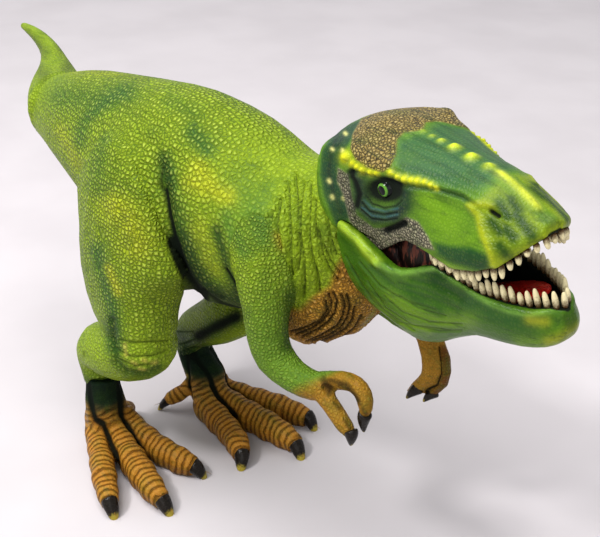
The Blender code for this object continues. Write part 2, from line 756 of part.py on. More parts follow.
def add_head():
    head = add_solid("head", [head_ring(row) for row in head_rows()])
    neck = add_torso("neck_room", SEAT_GAP)
    neck.data.transform(head_matrix().inverted())
    cut(head, add_mouth_room(), neck)
    join(head, add_hinge_boss("boss"))
    cut(head, add_pin("bore", PIN_GAP), *add_jaw_sweep())
    join(head, *add_upper_teeth())
    return head


def add_jaw():
    jaw = add_jaw_shell("lower_jaw")
    cut(jaw, add_pin("bore", PIN_GAP))
    join(jaw, *add_lower_teeth())
    return jaw


def add_tongue():
    tongue = add_tube("tongue", stations(TONGUE_SHARES, TONGUE_SIZES), 14, 2)
    cut(tongue, add_jaw_shell("jaw_room", SEAT_GAP))
    return tongue


# Assembly

def add_frame(name, parent=None):
    frame = bpy.data.objects.new(name, None)
    bpy.context.collection.objects.link(frame)
    frame.parent = parent
    return frame


def place(thing, parent, origin=(0, 0, 0)):
    """Parents a piece and puts its origin at a point of that frame without moving its shape."""
    thing.data.transform(Matrix.Translation(-Vector(origin)))
    thing.location = origin
    thing.parent = parent


def weld(thing):
    """Merges the corners that the cuts left almost touching."""
    shape = bmesh.new()
    shape.from_mesh(thing.data)
    bmesh.ops.remove_doubles(shape, verts=shape.verts, dist=WELD)
    bmesh.ops.dissolve_degenerate(shape, edges=shape.edges, dist=WELD)
    shape.to_mesh(thing.data)
    shape.free()


def finish(thing, colour, roughness=0.5, metallic=0.0):
    """Colours a piece and shades it smooth, with its sharp edges kept sharp."""
    weld(thing)
    material = bpy.data.materials.new(thing.name)
    material.use_nodes = True
    surface = material.node_tree.nodes["Principled BSDF"]
    surface.inputs["Base Color"].default_value = (*colour, 1)
    surface.inputs["Roughness"].default_value = roughness
    surface.inputs["Metallic"].default_value = metallic
    thing.data.materials.clear()
    thing.data.materials.append(material)
    thing.data.shade_smooth()
    thing.data.set_sharp_from_angle(angle=SHARP_ANGLE)


def build_body(figure):
    torso = add_torso("torso")
    room = [add_hinge_boss("boss_room", RUNNING_GAP), *add_jaw_sweep()]
    for tool in room:
        tool.data.transform(head_matrix())
    sockets = [add_tail_peg("socket", SEAT_GAP)]
    for side in (LEFT, RIGHT):
        sockets += [add_hip_peg("socket", side, SEAT_GAP), add_arm_peg("socket", side, SEAT_GAP)]
    cut(torso, *room, *sockets)
    place(torso, figure)
    finish(torso, (0.30, 0.36, 0.05))
    tail = add_tail()
    place(tail, figure, tail_joint())
    finish(tail, (0.33, 0.43, 0.06))


def build_leg(figure, word, side, shank_shares, ball_shares, turn):
    joint = ankle(shank_shares, side)
    leg = add_leg(f"{word}_leg", shank_shares, side)
    place(leg, figure, joint)
    finish(leg, (0.31, 0.42, 0.06))
    ball = Vector(stations([ball_shares], BALL_SIZES, hip_origin(), side)[0][:3])
    foot = add_foot(f"{word}_foot", joint, ball, turn, side)
    place(foot, figure, joint)
    finish(foot, (0.40, 0.22, 0.05))


def build_arm(figure, word, side, arm_shares, finger_shares, colour):
    arm = add_arm(f"{word}_arm", arm_shares, finger_shares, side)
    place(arm, figure, shoulder(side))
    finish(arm, colour)


def build_head(figure):
    pose = add_frame("head_pose", figure)
    pose.matrix_local = head_matrix()
    hinge = add_frame("jaw_hinge", pose)
    head = add_head()
    lining = add_lining()
    pin = add_pin("jaw_pin")
    jaw = add_jaw()
    tongue = add_tongue()
    for thing in (head, lining, pin):
        place(thing, pose)
    for thing in (jaw, tongue):
        place(thing, hinge)
    finish(head, (0.22, 0.20, 0.06))
    finish(lining, (0.06, 0.013, 0.008), 0.4)
    finish(pin, (0.55, 0.55, 0.56), 0.35, 1.0)
    finish(jaw, (0.20, 0.27, 0.05))
    finish(tongue, (0.40, 0.03, 0.02), 0.35)


def centre_on_ground(figure):
    """Moves the figure so that the origin lies under the middle of its bounding box."""
    bpy.context.view_layer.update()
    corners = [thing.matrix_world @ vert.co for thing in bpy.data.objects if thing.type == "MESH"
               for vert in thing.data.vertices]
    for axis in (0, 1):
        values = [corner[axis] for corner in corners]
        figure.location[axis] = -(min(values) + max(values)) / 2


def main():
    for thing in list(bpy.data.objects):
        bpy.data.objects.remove(thing, do_unlink=True)
    figure = add_frame("figure")
    build_body(figure)
    build_leg(figure, "right", RIGHT, RIGHT_SHANK_SHARES, RIGHT_BALL_SHARES, 0)
    build_leg(figure, "left", LEFT, LEFT_SHANK_SHARES, LEFT_BALL_SHARES, LEFT_FOOT_TURN)
    build_arm(figure, "right", RIGHT, RIGHT_ARM_SHARES, RIGHT_FINGER_SHARES, (0.12, 0.22, 0.07))
    build_arm(figure, "left", LEFT, LEFT_ARM_SHARES, LEFT_FINGER_SHARES, (0.32, 0.22, 0.07))
    build_head(figure)
    centre_on_ground(figure)


main()
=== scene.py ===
# %% [markdown]
# # A painted toy dinosaur
#
# This lesson dresses the bare solids of a hard plastic toy dinosaur. The real figure is moulded with a
# pebbled hide, then sprayed lime green, shaded with darker green and washed with thin dark paint that
# stays in the grooves. The solids give every size and place, so here each one gets a finer skin,
# sculpted folds, airbrushed colour and a procedural finish. Painted shade in the deep creases, under the
# belly and on the limbs' shaded sides, and painted highlights on the thigh and the scales, are mixed
# into that colour as well.

# %% Load the solids
import math

import bmesh
import bpy
import numpy as np
from mathutils import Matrix, Vector
from mathutils.bvhtree import BVHTree


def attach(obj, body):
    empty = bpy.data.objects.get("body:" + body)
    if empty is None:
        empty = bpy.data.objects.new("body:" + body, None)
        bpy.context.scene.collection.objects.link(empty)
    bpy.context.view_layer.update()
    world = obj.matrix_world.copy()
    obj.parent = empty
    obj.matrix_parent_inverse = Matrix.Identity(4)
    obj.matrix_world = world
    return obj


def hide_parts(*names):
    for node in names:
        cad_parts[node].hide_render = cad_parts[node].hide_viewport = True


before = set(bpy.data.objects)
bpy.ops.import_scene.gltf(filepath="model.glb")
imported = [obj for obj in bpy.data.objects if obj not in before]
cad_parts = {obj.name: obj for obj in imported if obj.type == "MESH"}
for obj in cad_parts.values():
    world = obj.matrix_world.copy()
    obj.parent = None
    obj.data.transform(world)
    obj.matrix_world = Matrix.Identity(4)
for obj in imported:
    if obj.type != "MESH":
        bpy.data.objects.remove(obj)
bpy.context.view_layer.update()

print("solids:", ", ".join(sorted(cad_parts)))

# %% [markdown]
# ## The camera
#
# The photograph was taken from in front of the figure's right side, a little from above. A camera can be
# guessed by eye, or worked out from points whose places are known. This one was fitted to the feet, the
# outline and the head, and the solids were sized through it. So a pixel of the photograph can also be
# turned into a line of sight, which is how eyes, folds and colours find their place on the skin later.

# %% Camera at the photograph's viewing angle
MM = 0.001
PHOTO_SIZE = (600, 537)
SENSOR_WIDTH = 36.0
FOCAL_PIXELS = 1100
NEAREST_SEEN = 10 * MM
CAMERA_PLACE = Vector((0.26486, -0.15048, 0.2172))
CAMERA_SIGHT = Vector((-0.705, 0.541, -0.459)).normalized()

camera_data = bpy.data.cameras.new("camera")
camera_data.sensor_width = SENSOR_WIDTH
camera_data.lens = SENSOR_WIDTH * FOCAL_PIXELS / PHOTO_SIZE[0]
camera_data.clip_start = NEAREST_SEEN
camera = bpy.data.objects.new("camera", camera_data)
bpy.context.scene.collection.objects.link(camera)
camera.location = CAMERA_PLACE
camera.rotation_euler = CAMERA_SIGHT.to_track_quat("-Z", "Y").to_euler()
bpy.context.scene.camera = camera
CAMERA_RIGHT = CAMERA_SIGHT.cross(Vector((0, 0, 1))).normalized()
CAMERA_UP = CAMERA_RIGHT.cross(CAMERA_SIGHT)
print("lens", round(camera_data.lens, 1), "mm")

# %% From points to pixels and back
def to_pixels(points):
    """Photograph pixels of an array of points."""
    rel = points - np.array(CAMERA_PLACE)
    depth = rel @ np.array(CAMERA_SIGHT)
    across = FOCAL_PIXELS * (rel @ np.array(CAMERA_RIGHT)) / depth + PHOTO_SIZE[0] / 2
    down = PHOTO_SIZE[1] / 2 - FOCAL_PIXELS * (rel @ np.array(CAMERA_UP)) / depth
    return np.stack((across, down), 1)


def line_of_sight(u, v):
    """Direction in which the camera sees a pixel."""
    right = CAMERA_RIGHT * (u - PHOTO_SIZE[0] / 2) / FOCAL_PIXELS
    up = CAMERA_UP * (PHOTO_SIZE[1] / 2 - v) / FOCAL_PIXELS
    return (CAMERA_SIGHT + right + up).normalized()


# %% [markdown]
# ## Shader sums as Python
#
# Every finish below is a graph of nodes. Adding and linking each one by hand makes long listings, so a
# small class wraps a socket: sums on it add Math nodes, and one method adds any other node.

# %% A socket that takes part in sums
class Wire:
    """One shader socket; sums on wires add Math nodes to the tree in hand."""
    tree = None

    def __init__(self, socket):
        self.socket = socket

    @classmethod
    def node(cls, kind, settings=None, inputs=None, output=0):
        made = cls.tree.nodes.new("ShaderNode" + kind)
        for name, value in (settings or {}).items():
            setattr(made, name, value)
        for name, value in (inputs or {}).items():
            if isinstance(value, Wire):
                cls.tree.links.new(value.socket, made.inputs[name])
            else:
                made.inputs[name].default_value = value
        return cls(made.outputs[output])

    def sum(self, operation, first, second):
        return self.node("Math", {"operation": operation}, {0: first, 1: second})

    def __add__(self, other):
        return self.sum("ADD", self, other)

    def __sub__(self, other):
        return self.sum("SUBTRACT", self, other)

    def __rsub__(self, other):
        return self.sum("SUBTRACT", other, self)

    def __mul__(self, other):
        return self.sum("MULTIPLY", self, other)

    __radd__ = __add__
    __rmul__ = __mul__


# %% Small shader words used by several finishes
def colour(red, green, blue):
    """A paint colour, given as a screen shows it."""
    shares = np.array((red, green, blue)) / 255
    linear = np.where(shares <= 0.04045, shares / 12.92, ((shares + 0.055) / 1.055) ** 2.4)
    return (*linear.tolist(), 1)


def ramp(value, low, high, start=0.0, end=1.0):
    """A soft step between two values."""
    sockets = {"Value": value, "From Min": low, "From Max": high, "To Min": start, "To Max": end}
    return Wire.node("MapRange", {"interpolation_type": "SMOOTHSTEP"}, sockets)


def blend_colours(share, under, over, way="MIX"):
    return Wire.node("Mix", {"data_type": "RGBA", "blend_type": way}, {0: share, 6: under, 7: over}, 2)


def place_on_object():
    return Wire.node("TexCoord", output="Object")


def attribute(name, output="Fac"):
    return Wire.node("Attribute", {"attribute_name": name}, output=output)


def noise(where, size, detail=3.0):
    """Cloudy values from 0 to 1 with lumps of about one size."""
    return Wire.node("TexNoise", inputs={"Vector": where, "Scale": 1 / size, "Detail": detail})


def cells(where, size, randomness=1.0):
    """Distance from the border between packed cells, 0 on the border."""
    sockets = {"Vector": where, "Scale": 1 / size, "Randomness": randomness}
    return Wire.node("TexVoronoi", {"feature": "DISTANCE_TO_EDGE"}, sockets)


SHEEN = 0.15


def begin_material(name, sheen=SHEEN):
    material = bpy.data.materials.new(name)
    material.use_nodes = True
    Wire.tree = material.node_tree
    surface_inputs()["Specular IOR Level"].default_value = sheen
    return material


def surface_inputs():
    return Wire.tree.nodes["Principled BSDF"].inputs


def link_surface(**wires):
    """Joins wires to the surface by the names of its sockets, with _ for a space."""
    for name, wire in wires.items():
        Wire.tree.links.new(wire.socket, surface_inputs()[name.replace("_", " ")])


def relief(height, depth, strength=1.0):
    return Wire.node("Bump", inputs={"Height": height, "Distance": depth, "Strength": strength})


# %% [markdown]
# ## Finer skins over the bare solids
#
# The solids are made of a few large faces. To sculpt folds and paint from point to point, each moulding
# needs an even mesh of small faces. A voxel remesh of a copy gives just that, and the copy stays where
# its solid is. Where two mouldings are glued, the touching faces are tucked inside the neighbour and
# then smoothed, so that no slit shows between them.

# %% Choosing objects and reading meshes
WELD = 0.01 * MM


def choose(thing=None):
    """Selects one object and nothing else, or nothing at all."""
    for other in bpy.context.selected_objects:
        other.select_set(False)
    bpy.context.view_layer.objects.active = thing
    if thing:
        thing.select_set(True)


def apply_modifier(thing, kind, **settings):
    choose(thing)
    change = thing.modifiers.new(kind.lower(), kind)
    for name, value in settings.items():
        setattr(change, name, value)
    bpy.ops.object.modifier_apply(modifier=change.name)


def read_points(thing):
    found = np.empty(len(thing.data.vertices) * 3)
    thing.data.vertices.foreach_get("co", found)
    return found.reshape(-1, 3)


def write_points(thing, points):
    thing.data.vertices.foreach_set("co", points.ravel())
    thing.data.update()


def read_normals(thing):
    found = np.empty(len(thing.data.vertices) * 3)
    thing.data.vertex_normals.foreach_get("vector", found)
    return found.reshape(-1, 3)


def keep_values(thing, name, values):
    """Stores one number or one colour for each point of a mesh."""
    kind = "FLOAT" if values.ndim == 1 else "FLOAT_COLOR"
    layer = thing.data.attributes.new(name, kind, "POINT")
    layer.data.foreach_set("value" if values.ndim == 1 else "color", values.astype(np.float32).ravel())


def tree_of(thing):
    mesh = bmesh.new()
    mesh.from_mesh(thing.data)
    tree = BVHTree.FromBMesh(mesh)
    mesh.free()
    return tree


# %% Tuck, remesh and smooth a copy of a solid
GLUE_REACH = 0.6 * MM
node_trees = {name: tree_of(node) for name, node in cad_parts.items()}


def tuck(points, neighbour, push, direction=None):
    """Moves the points that touch a glued neighbour into it."""
    for index, point in enumerate(points):
        spot, normal, face, distance = node_trees[neighbour].find_nearest(Vector(point), GLUE_REACH)
        if spot is not None:
            points[index] += push * (np.array(direction) if direction else -np.array(normal))


def add_skin(name, node, body, voxel, rounds, tucks=(), shape_first=None):
    """A fine skin that stands for a solid."""
    skin = bpy.data.objects.new(name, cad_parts[node].data.copy())
    bpy.context.scene.collection.objects.link(skin)
    choose(skin)
    bpy.ops.object.mode_set(mode="EDIT")
    bpy.ops.mesh.select_all(action="SELECT")
    bpy.ops.mesh.remove_doubles(threshold=WELD)
    bpy.ops.object.mode_set(mode="OBJECT")
    points = read_points(skin)
    if shape_first:
        shape_first(points)
        write_points(skin, points)
    apply_modifier(skin, "REMESH", mode="VOXEL", voxel_size=voxel)
    points = read_points(skin)
    for neighbour, push, direction in tucks:
        tuck(points, neighbour, push, direction)
    write_points(skin, points)
    apply_modifier(skin, "SMOOTH", factor=0.5, iterations=rounds)
    skin.data.shade_smooth()
    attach(skin, body)
    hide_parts(node)
    print(name, len(skin.data.vertices), "points")
    return skin


# %% The body's skins
BODY_VOXEL = 0.6 * MM
LEG_VOXEL = 0.55 * MM
LIMB_VOXEL = 0.45 * MM
SEAM_TUCK = 3 * MM
INTO_TORSO = ("torso", 2 * MM, None)
BACK = (-1.0, 0.0, 0.0)
AHEAD = (1.0, 0.0, 0.0)
UP = (0.0, 0.0, 1.0)
DOWN = (0.0, 0.0, -1.0)
torso = add_skin("torso_skin", "torso", "figure", BODY_VOXEL, 14, [("tail", SEAM_TUCK, BACK)])
tail = add_skin("tail_skin", "tail", "figure", BODY_VOXEL, 8, [("torso", SEAM_TUCK, AHEAD)])
legs, feet, arms = {}, {}, {}
for side in ("right", "left"):
    leg, foot, arm = f"{side}_leg", f"{side}_foot", f"{side}_arm"
    ankle_seam = (foot, SEAM_TUCK, DOWN)
    legs[side] = add_skin(leg + "_skin", leg, "figure", LEG_VOXEL, 10, [INTO_TORSO, ankle_seam])
    feet[side] = add_skin(foot + "_skin", foot, "figure", LIMB_VOXEL, 3, [(leg, SEAM_TUCK, UP)])
    arms[side] = add_skin(arm + "_skin", arm, "figure", LIMB_VOXEL, 4, [INTO_TORSO])

# %% [markdown]
# ## The head and the lower jaw
#
# The solids carry their teeth in one piece with the jaws. Here the teeth become pieces of their own, so
# on the copies the solid teeth are pressed flat into the gums before the remesh. The head has its own
# frame, with the hinge of the jaw at its origin.

# %% Frame of the head and lines of the lips
HINGE = np.array((0.088161, 0.017372, 0.10293))
HEAD_TILT = (math.radians(11.0), math.radians(-11.5), math.radians(-6.7))
HEAD_AXES = np.array(Matrix.Rotation(HEAD_TILT[2], 3, "Z") @ Matrix.Rotation(HEAD_TILT[1], 3, "Y")
                     @ Matrix.Rotation(HEAD_TILT[0], 3, "X"))
LIP_LINE = np.array((
    (-12.7, 11.1, 0.0), (-8.3, 12.9, -2.4), (-1.1, 12.3, -3.6), (6.1, 12.3, 0.6), (12.7, 12.9, 3.6),
    (19.8, 12.9, 6.6), (27.5, 12.9, 5.4), (34.1, 12.3, 2.7), (41.3, 11.1, 3.0), (47.3, 9.3, 4.8),
    (52.3, 6.3, 8.1), (55.0, 2.4, 9.9),
)) * MM
RIM_LINE = np.array((
    (-6.3, 15.6, 3.6), (-2.7, 15.6, 7.8), (2.2, 15.6, 5.7), (7.9, 15.3, 2.6), (13.1, 14.1, -1.6),
    (18.8, 12.3, -1.3), (24.0, 11.1, 0.5), (30.0, 9.6, -2.6), (36.8, 9.0, -4.7), (43.3, 7.5, -5.7),
    (48.8, 5.4, -6.5), (52.6, 3.3, -6.8), (54.5, 1.2, -7.3),
)) * MM
UPPER_TEETH_FROM = 27.0 * MM
LOWER_TEETH_FROM = 23.0 * MM
GUM = 0.2 * MM
HEAD_VOXEL = 0.4 * MM


def to_head(points):
    return (points - HINGE) @ HEAD_AXES


def from_head(points):
    return points @ HEAD_AXES.T + HINGE


def line_at(line, forward):
    """Half width and height of a lip at places forward of the hinge."""
    return np.interp(forward, line[:, 0], line[:, 1]), np.interp(forward, line[:, 0], line[:, 2])


def press_upper_teeth(points):
    local = to_head(points)
    low = line_at(LIP_LINE, local[:, 0])[1] + GUM
    chosen = (local[:, 0] > UPPER_TEETH_FROM) & (local[:, 2] < low)
    local[chosen, 2] = low[chosen]
    points[:] = from_head(local)


def press_lower_teeth(points):
    local = to_head(points)
    high = line_at(RIM_LINE, local[:, 0])[1] - GUM
    chosen = (local[:, 0] > LOWER_TEETH_FROM) & (local[:, 2] > high)
    local[chosen, 2] = high[chosen]
    points[:] = from_head(local)


# %% Skins of the head and the lower jaw
head = add_skin("head_skin", "head", "figure", HEAD_VOXEL, 5, shape_first=press_upper_teeth)
jaw = add_skin("jaw_skin", "lower_jaw", "jaw", HEAD_VOXEL, 8, shape_first=press_lower_teeth)

# %% [markdown]
# ## Sculpting and spraying through the photograph's view
#
# On the real figure a folded, scaled hide is carved into the mould, and colour is sprayed over it in
# soft strokes. Both follow places that can be seen in the photograph. So each point of a skin is looked
# up as a pixel, and a stroke is a line of pixels with a width. The hidden side gets the same strokes,
# because its points are first folded over to the side that shows.

# %% Folding the hidden side over
SPINE = np.array((
    (-143.8, 24.9), (-134.6, 24.1), (-124.0, 23.1), (-111.9, 21.1), (-102.0, 17.9), (-92.7, 13.5),
    (-82.8, 8.5), (-72.8, 5.5), (-58.9, 5.5), (-43.4, 4.6), (-3.1, 4.6), (17.1, 5.5), (35.7, 7.3),
    (49.6, 9.6), (60.5, 11.4), (71.3, 13.6), (82.2, 15.9),
)) * MM


def near_pixels(points):
    """Pixels of a body's points, with its left side folded over its right."""
    near = points.copy()
    middle = np.interp(points[:, 0], SPINE[:, 0], SPINE[:, 1])
    near[:, 1] = middle - np.abs(points[:, 1] - middle)
    return to_pixels(near)


def near_head_pixels(points):
    local = to_head(points)
    local[:, 1] = -np.abs(local[:, 1])
    return to_pixels(from_head(local))


# %% Masks from lines and outlines of pixels
def distance_to(pixels, line):
    found = np.full(len(pixels), np.inf)
    for start, end in zip(line, line[1:]):
        start = np.array(start, float)
        along = np.array(end) - start
        share = np.clip((pixels - start) @ along / (along @ along), 0, 1)
        found = np.minimum(found, np.linalg.norm(pixels - start - share[:, None] * along, axis=1))
    return found


def on_lines(pixels, lines, width):
    """Mask that is 1 on lines of pixels and fades out over their width."""
    found = np.min([distance_to(pixels, line) for line in lines], axis=0)
    return np.exp(-(found / width) ** 2)


def fade(values, start, end):
    """Soft step from 0, where the values equal the start, to 1, where they equal the end."""
    share = np.clip((values - start) / (end - start), 0, 1)
    return share * share * (3 - 2 * share)


def in_patch(pixels, outline, soft):
    """Mask that is 1 inside an outline of pixels and fades across its edge."""
    closed = [*outline, outline[0]]
    inside = np.zeros(len(pixels), bool)
    for (u0, v0), (u1, v1) in zip(closed, closed[1:]):
        crosses = (v0 > pixels[:, 1]) != (v1 > pixels[:, 1])
        if v0 != v1:
            reach = u0 + (pixels[:, 1] - v0) * (u1 - u0) / (v1 - v0)
            inside ^= crosses & (pixels[:, 0] < reach)
    away = distance_to(pixels, closed)
    return fade(np.where(inside, away, -away), -soft, soft)


# %% Strokes: lines or an outline of pixels, with a width and a height, a strength or a colour
def mask_of(pixels, shape, width):
    """Mask of a set of lines or, where the shape is one run of pixels, of an outline."""
    return (on_lines if isinstance(shape[0][0], tuple) else in_patch)(pixels, shape, width)


def raised(pixels, strokes):
    """Sum of strokes that raise the hide, or sink it where their height is below 0."""
    return sum(height * mask_of(pixels, shape, width) for height, width, shape in strokes)


def darkest(pixels, strokes):
    """Wash and painted shade of the strongest stroke at each point."""
    return np.maximum.reduce([strength * mask_of(pixels, shape, width) for strength, width, shape in strokes])


def spray(paint, mask, tone):
    """Mixes a colour over the paint where the mask says."""
    paint += mask[:, None] * (np.array(tone) - paint)


def spray_all(paint, pixels, strokes):
    for tone, strength, width, shape in strokes:
        spray(paint, strength * mask_of(pixels, shape, width), tone)


# %% Smooth filling between mouldings that meet
def fill_corner(skin, others, reach, hold=None):
    """Swells a skin near its neighbours, as the sum of two round bodies does."""
    trees = [tree_of(other) for other in others]
    points, normals = read_points(skin), read_normals(skin)
    swell = np.zeros(len(points))
    for index, point in enumerate(points):
        for tree in trees:
            spot, normal, face, distance = tree.find_nearest(Vector(point), reach)
            if spot is not None:
                swell[index] = max(swell[index], (reach - distance) ** 2 / (4 * reach))
    if hold is not None:
        swell *= 1 - hold(points)
    return points + normals * swell[:, None]


# %% [markdown]
# ## Hide of the torso, the thighs and the tail
#
# The thigh is pressed into the belly with a deep crease in front of it, and melts into the back above.
# Loose folds of skin hang from the neck, and the throat bag is carved in rings.

# %% Lines of the body's folds
THIGH_CREASE = (((162, 166), (158, 185), (160, 197), (164, 215), (168, 235), (175, 255), (184, 279),
                 (192, 292)),)
DEEP_CREASE = (((162, 190), (165, 215), (171, 240), (178, 262), (187, 281), (198, 296)),)
DARK_CREASE = (((171, 243), (179, 263), (189, 282), (202, 298)),)
THIGH_EDGE = (((165, 222), (172, 246), (182, 268), (194, 288)),)
BELLY_CREASE = (((178, 258), (188, 276), (200, 290), (222, 297)),)
NECK_FOLDS = (
    ((288, 183), (290, 207), (293, 235), (294, 255), (296, 271)),
    ((295, 175), (297, 199), (298, 219)),
    ((303, 183), (300, 207), (301, 235), (305, 257), (306, 279)),
    ((310, 183), (309, 211), (309, 235), (312, 255), (318, 275), (320, 291)),
    ((318, 231), (322, 255), (330, 271), (338, 281)),
    ((273, 260), (282, 270), (290, 280)),
    ((305, 262), (306, 280), (305, 293)),
    ((282, 200), (281, 222), (285, 245)),
    ((326, 214), (329, 236), (336, 256)),
    ((299, 232), (302, 250), (300, 268)),
    ((315, 200), (314, 222), (317, 240)),
    ((323, 246), (330, 262), (340, 274)),
    ((276, 214), (275, 234), (280, 256)),
)
ARMPIT_CREASE = (((266, 238), (276, 252), (286, 266), (291, 282), (293, 304)),
                 ((279, 250), (284, 270), (289, 284)), ((240, 262), (247, 280), (247, 312)),
                 ((228, 268), (238, 284), (244, 302)), ((236, 252), (243, 270)))
BELLY_FOLDS = (((203, 292), (222, 304), (246, 312)), ((214, 300), (232, 311), (248, 318)))
THROAT_FOLDS = (
    ((292, 330), (307, 326), (320, 321), (327, 310), (325, 301)),
    ((302, 336), (317, 330), (328, 323), (335, 313), (337, 302), (333, 293)),
    ((307, 341), (323, 335), (337, 327), (343, 317), (345, 305), (341, 295)),
    ((318, 344), (333, 338), (346, 330), (353, 320), (355, 308)),
    ((297, 333), (312, 328), (322, 322), (330, 312), (331, 302), (328, 294)),
    ((312, 342), (328, 337), (341, 329), (348, 318), (350, 306), (347, 295)),
    ((330, 344), (345, 337), (356, 328), (362, 316)),
)
HIP_SHADE = (((125, 92), (100, 106), (85, 120), (79, 142)),)
THROAT_PATCH = ((286, 306), (303, 308), (316, 294), (330, 286), (338, 264), (348, 252), (366, 285),
                (376, 309), (362, 330), (342, 348), (320, 352), (300, 344), (286, 334))

# %% Colours of the paints
LIME = colour(142, 163, 41)
YELLOW = colour(190, 190, 48)
TEAL = colour(52, 106, 58)
DEEP_GREEN = colour(22, 62, 26)
OCHRE = colour(160, 112, 40)
TAN = colour(162, 144, 88)
OLIVE = colour(84, 100, 36)
THROAT_TAN = colour(196, 144, 64)
KNEE_CREAM = colour(214, 196, 110)
INNER_SHADE_DARK = colour(16, 34, 20)
TOE_SHADE_BROWN = colour(120, 74, 26)
ANKLE_GREEN = colour(22, 58, 40)
HAND_OCHRE = colour(158, 120, 44)
BLOTCH_BROWN = colour(74, 44, 16)
FAR_FINGER_SHADE = colour(100, 54, 18)
MOUTH_DARK = colour(26, 8, 5)

# %% Strokes of the body: colour, strength, width in pixels, lines of pixels
BODY_SPRAY = (
    (TEAL, 0.50, 15, (((60, 97), (95, 99), (128, 90)),)),
    (TEAL, 0.60, 7, HIP_SHADE),
    # Painted shade: the teal band on the inner thigh.
    (TEAL, 0.40, 9, (((108, 142), (101, 166), (98, 190), (114, 188)),)),
    (TEAL, 0.75, 9, (((97, 250), (106, 285), (113, 312), (115, 345)),)),
    (TEAL, 0.75, 10, (((193, 133), (200, 141), (206, 150)),)),
    (TEAL, 0.50, 8, (((228, 214), (235, 232), (243, 252)),)),
    (TEAL, 0.30, 9, (((172, 101), (196, 113)),)),
    (TEAL, 0.55, 8, (((167, 166), (171, 185)),)),
    (TEAL, 0.30, 12, (((268, 190), (262, 215), (262, 240)),)),
    (TEAL, 0.45, 12, (((166, 176), (178, 220), (190, 250)),)),
    (TEAL, 0.40, 20, (((236, 190), (250, 210), (262, 232)),)),
    (YELLOW, 0.60, 11, (((198, 168), (212, 188)), ((192, 182), (228, 196)))),
    (YELLOW, 0.30, 12, (((196, 228), (212, 266)),)),
    (YELLOW, 0.75, 5, (((108, 268), (112, 278), (118, 292)),)),
    # Painted highlight: the bright middle of the thigh.
    (YELLOW, 0.55, 17, (((116, 206), (130, 222), (138, 244)),)),
    (YELLOW, 0.35, 7, (((60, 130), (78, 165)), ((70, 67), (140, 73)))),
    (OCHRE, 0.45, 6, (((278, 236), (282, 246)),)),
    (OLIVE, 0.45, 6, (((205, 303), (247, 315)), ((318, 228), (330, 250)))),
)

# Painted shade: deep green in the crease in front of the thigh, under the belly and in the armpit.
BELLY_SHADE_SPRAY = (
    (DEEP_GREEN, 0.80, 7, (((163, 157), (166, 170), (169, 198), (175, 225), (184, 250), (195, 272),
                            (210, 290)),)),
    (DEEP_GREEN, 0.95, 13, (((176, 236), (190, 264), (206, 288), (232, 303), (250, 310)),)),
    (colour(10, 46, 8), 0.90, 8, (((176, 246), (186, 268), (200, 290), (224, 304), (246, 312)),)),
    (DEEP_GREEN, 0.85, 8, (((218, 230), (228, 256), (236, 282), (240, 302)),)),
    (DEEP_GREEN, 0.85, 5, (((264, 236), (280, 258), (292, 288)),)),
)

# %% Carving of the torso, and its wash with the painted shade of its creases: height in mm or strength, width in pixels, lines of pixels
TORSO_CARVING = (
    (-0.7, 4, THIGH_CREASE), (-0.9, 3, ARMPIT_CREASE), (-1.5, 7, DEEP_CREASE), (-0.5, 2.5, BELLY_FOLDS),
)
# In this wash the thigh, deep, dark and belly creases and the armpit are painted shade; the neck, throat and
# belly folds take dark wash.
TORSO_WASH_AND_SHADE = (
    (0.62, 2.6, THIGH_CREASE), (1, 3.5, DEEP_CREASE), (1, 9, DARK_CREASE), (0.5, 5, BELLY_CREASE),
    (0.62, 1.5, NECK_FOLDS), (0.75, 2, THROAT_FOLDS), (0.9, 2.6, ARMPIT_CREASE), (0.7, 2.5, BELLY_FOLDS),
)
SWELL_WIDTH = 2.6
KEPT_CREASE_WIDTH = 11


def groove(pixels, lines, width, depth, swell=0.4):
    """Height of a carved line, with the hide swollen on both sides of it."""
    return raised(pixels, ((depth * swell, SWELL_WIDTH * width, lines), (-depth * (1 + swell), width, lines)))


def keep_crease(points):
    return on_lines(near_pixels(points), THIGH_CREASE, KEPT_CREASE_WIDTH)


# %% Start and keep the paint of a skin
PAINT_DEPTH = 1.25


def start_paint(count, tone=LIME):
    return np.tile(np.array(tone), (count, 1))


def finish_skin(skin, points, paint, wash_and_shade, scales):
    """Keeps the sprayed paint, deepened as the hard plastic under it does, with its masks."""
    write_points(skin, points)
    keep_values(skin, "Paint", paint ** PAINT_DEPTH)
    keep_values(skin, "WashAndShade", wash_and_shade)
    keep_values(skin, "Scales", scales * (1 - np.clip(wash_and_shade, 0, 1)))
    print(skin.name, "painted,", round(100 * np.mean(wash_and_shade > 0.5)), "% of it under dark wash")


# %% Carve and paint the torso; places along the body are in mm
CORNER_REACH = 8 * MM
ARM_REACH = 11 * MM
NECK = (28, 54)
REAR = (-40, -75)
start, normals = read_points(torso), read_normals(torso)
pixels = near_pixels(start)
points = fill_corner(torso, list(legs.values()), CORNER_REACH, keep_crease)
points += fill_corner(torso, list(arms.values()), ARM_REACH) - start
carving = groove(pixels, NECK_FOLDS, 2.2, 1.0, 0.6) + groove(pixels, THROAT_FOLDS, 2.0, 0.8, 0.5)
carving += raised(pixels, TORSO_CARVING)
points += normals * (carving * MM)[:, None]
paint = start_paint(len(points))
# The belly strokes are painted shade, and the olive below is painted shade on the faces that turn downwards.
spray_all(paint, pixels, BODY_SPRAY + BELLY_SHADE_SPRAY)
spray(paint, 0.7 * fade(-normals[:, 2], 0.35, 0.85), OLIVE)
throat = in_patch(pixels, THROAT_PATCH, 5)
spray(paint, 0.9 * throat, THROAT_TAN)
bare = 0.5 * fade(points[:, 0] / MM, *NECK) + 0.45 * fade(points[:, 0] / MM, *REAR)
finish_skin(torso, points, paint, darkest(pixels, TORSO_WASH_AND_SHADE), (1 - bare) * (1 - 0.6 * throat))
keep_values(torso, "Pits", 0.65 * throat)

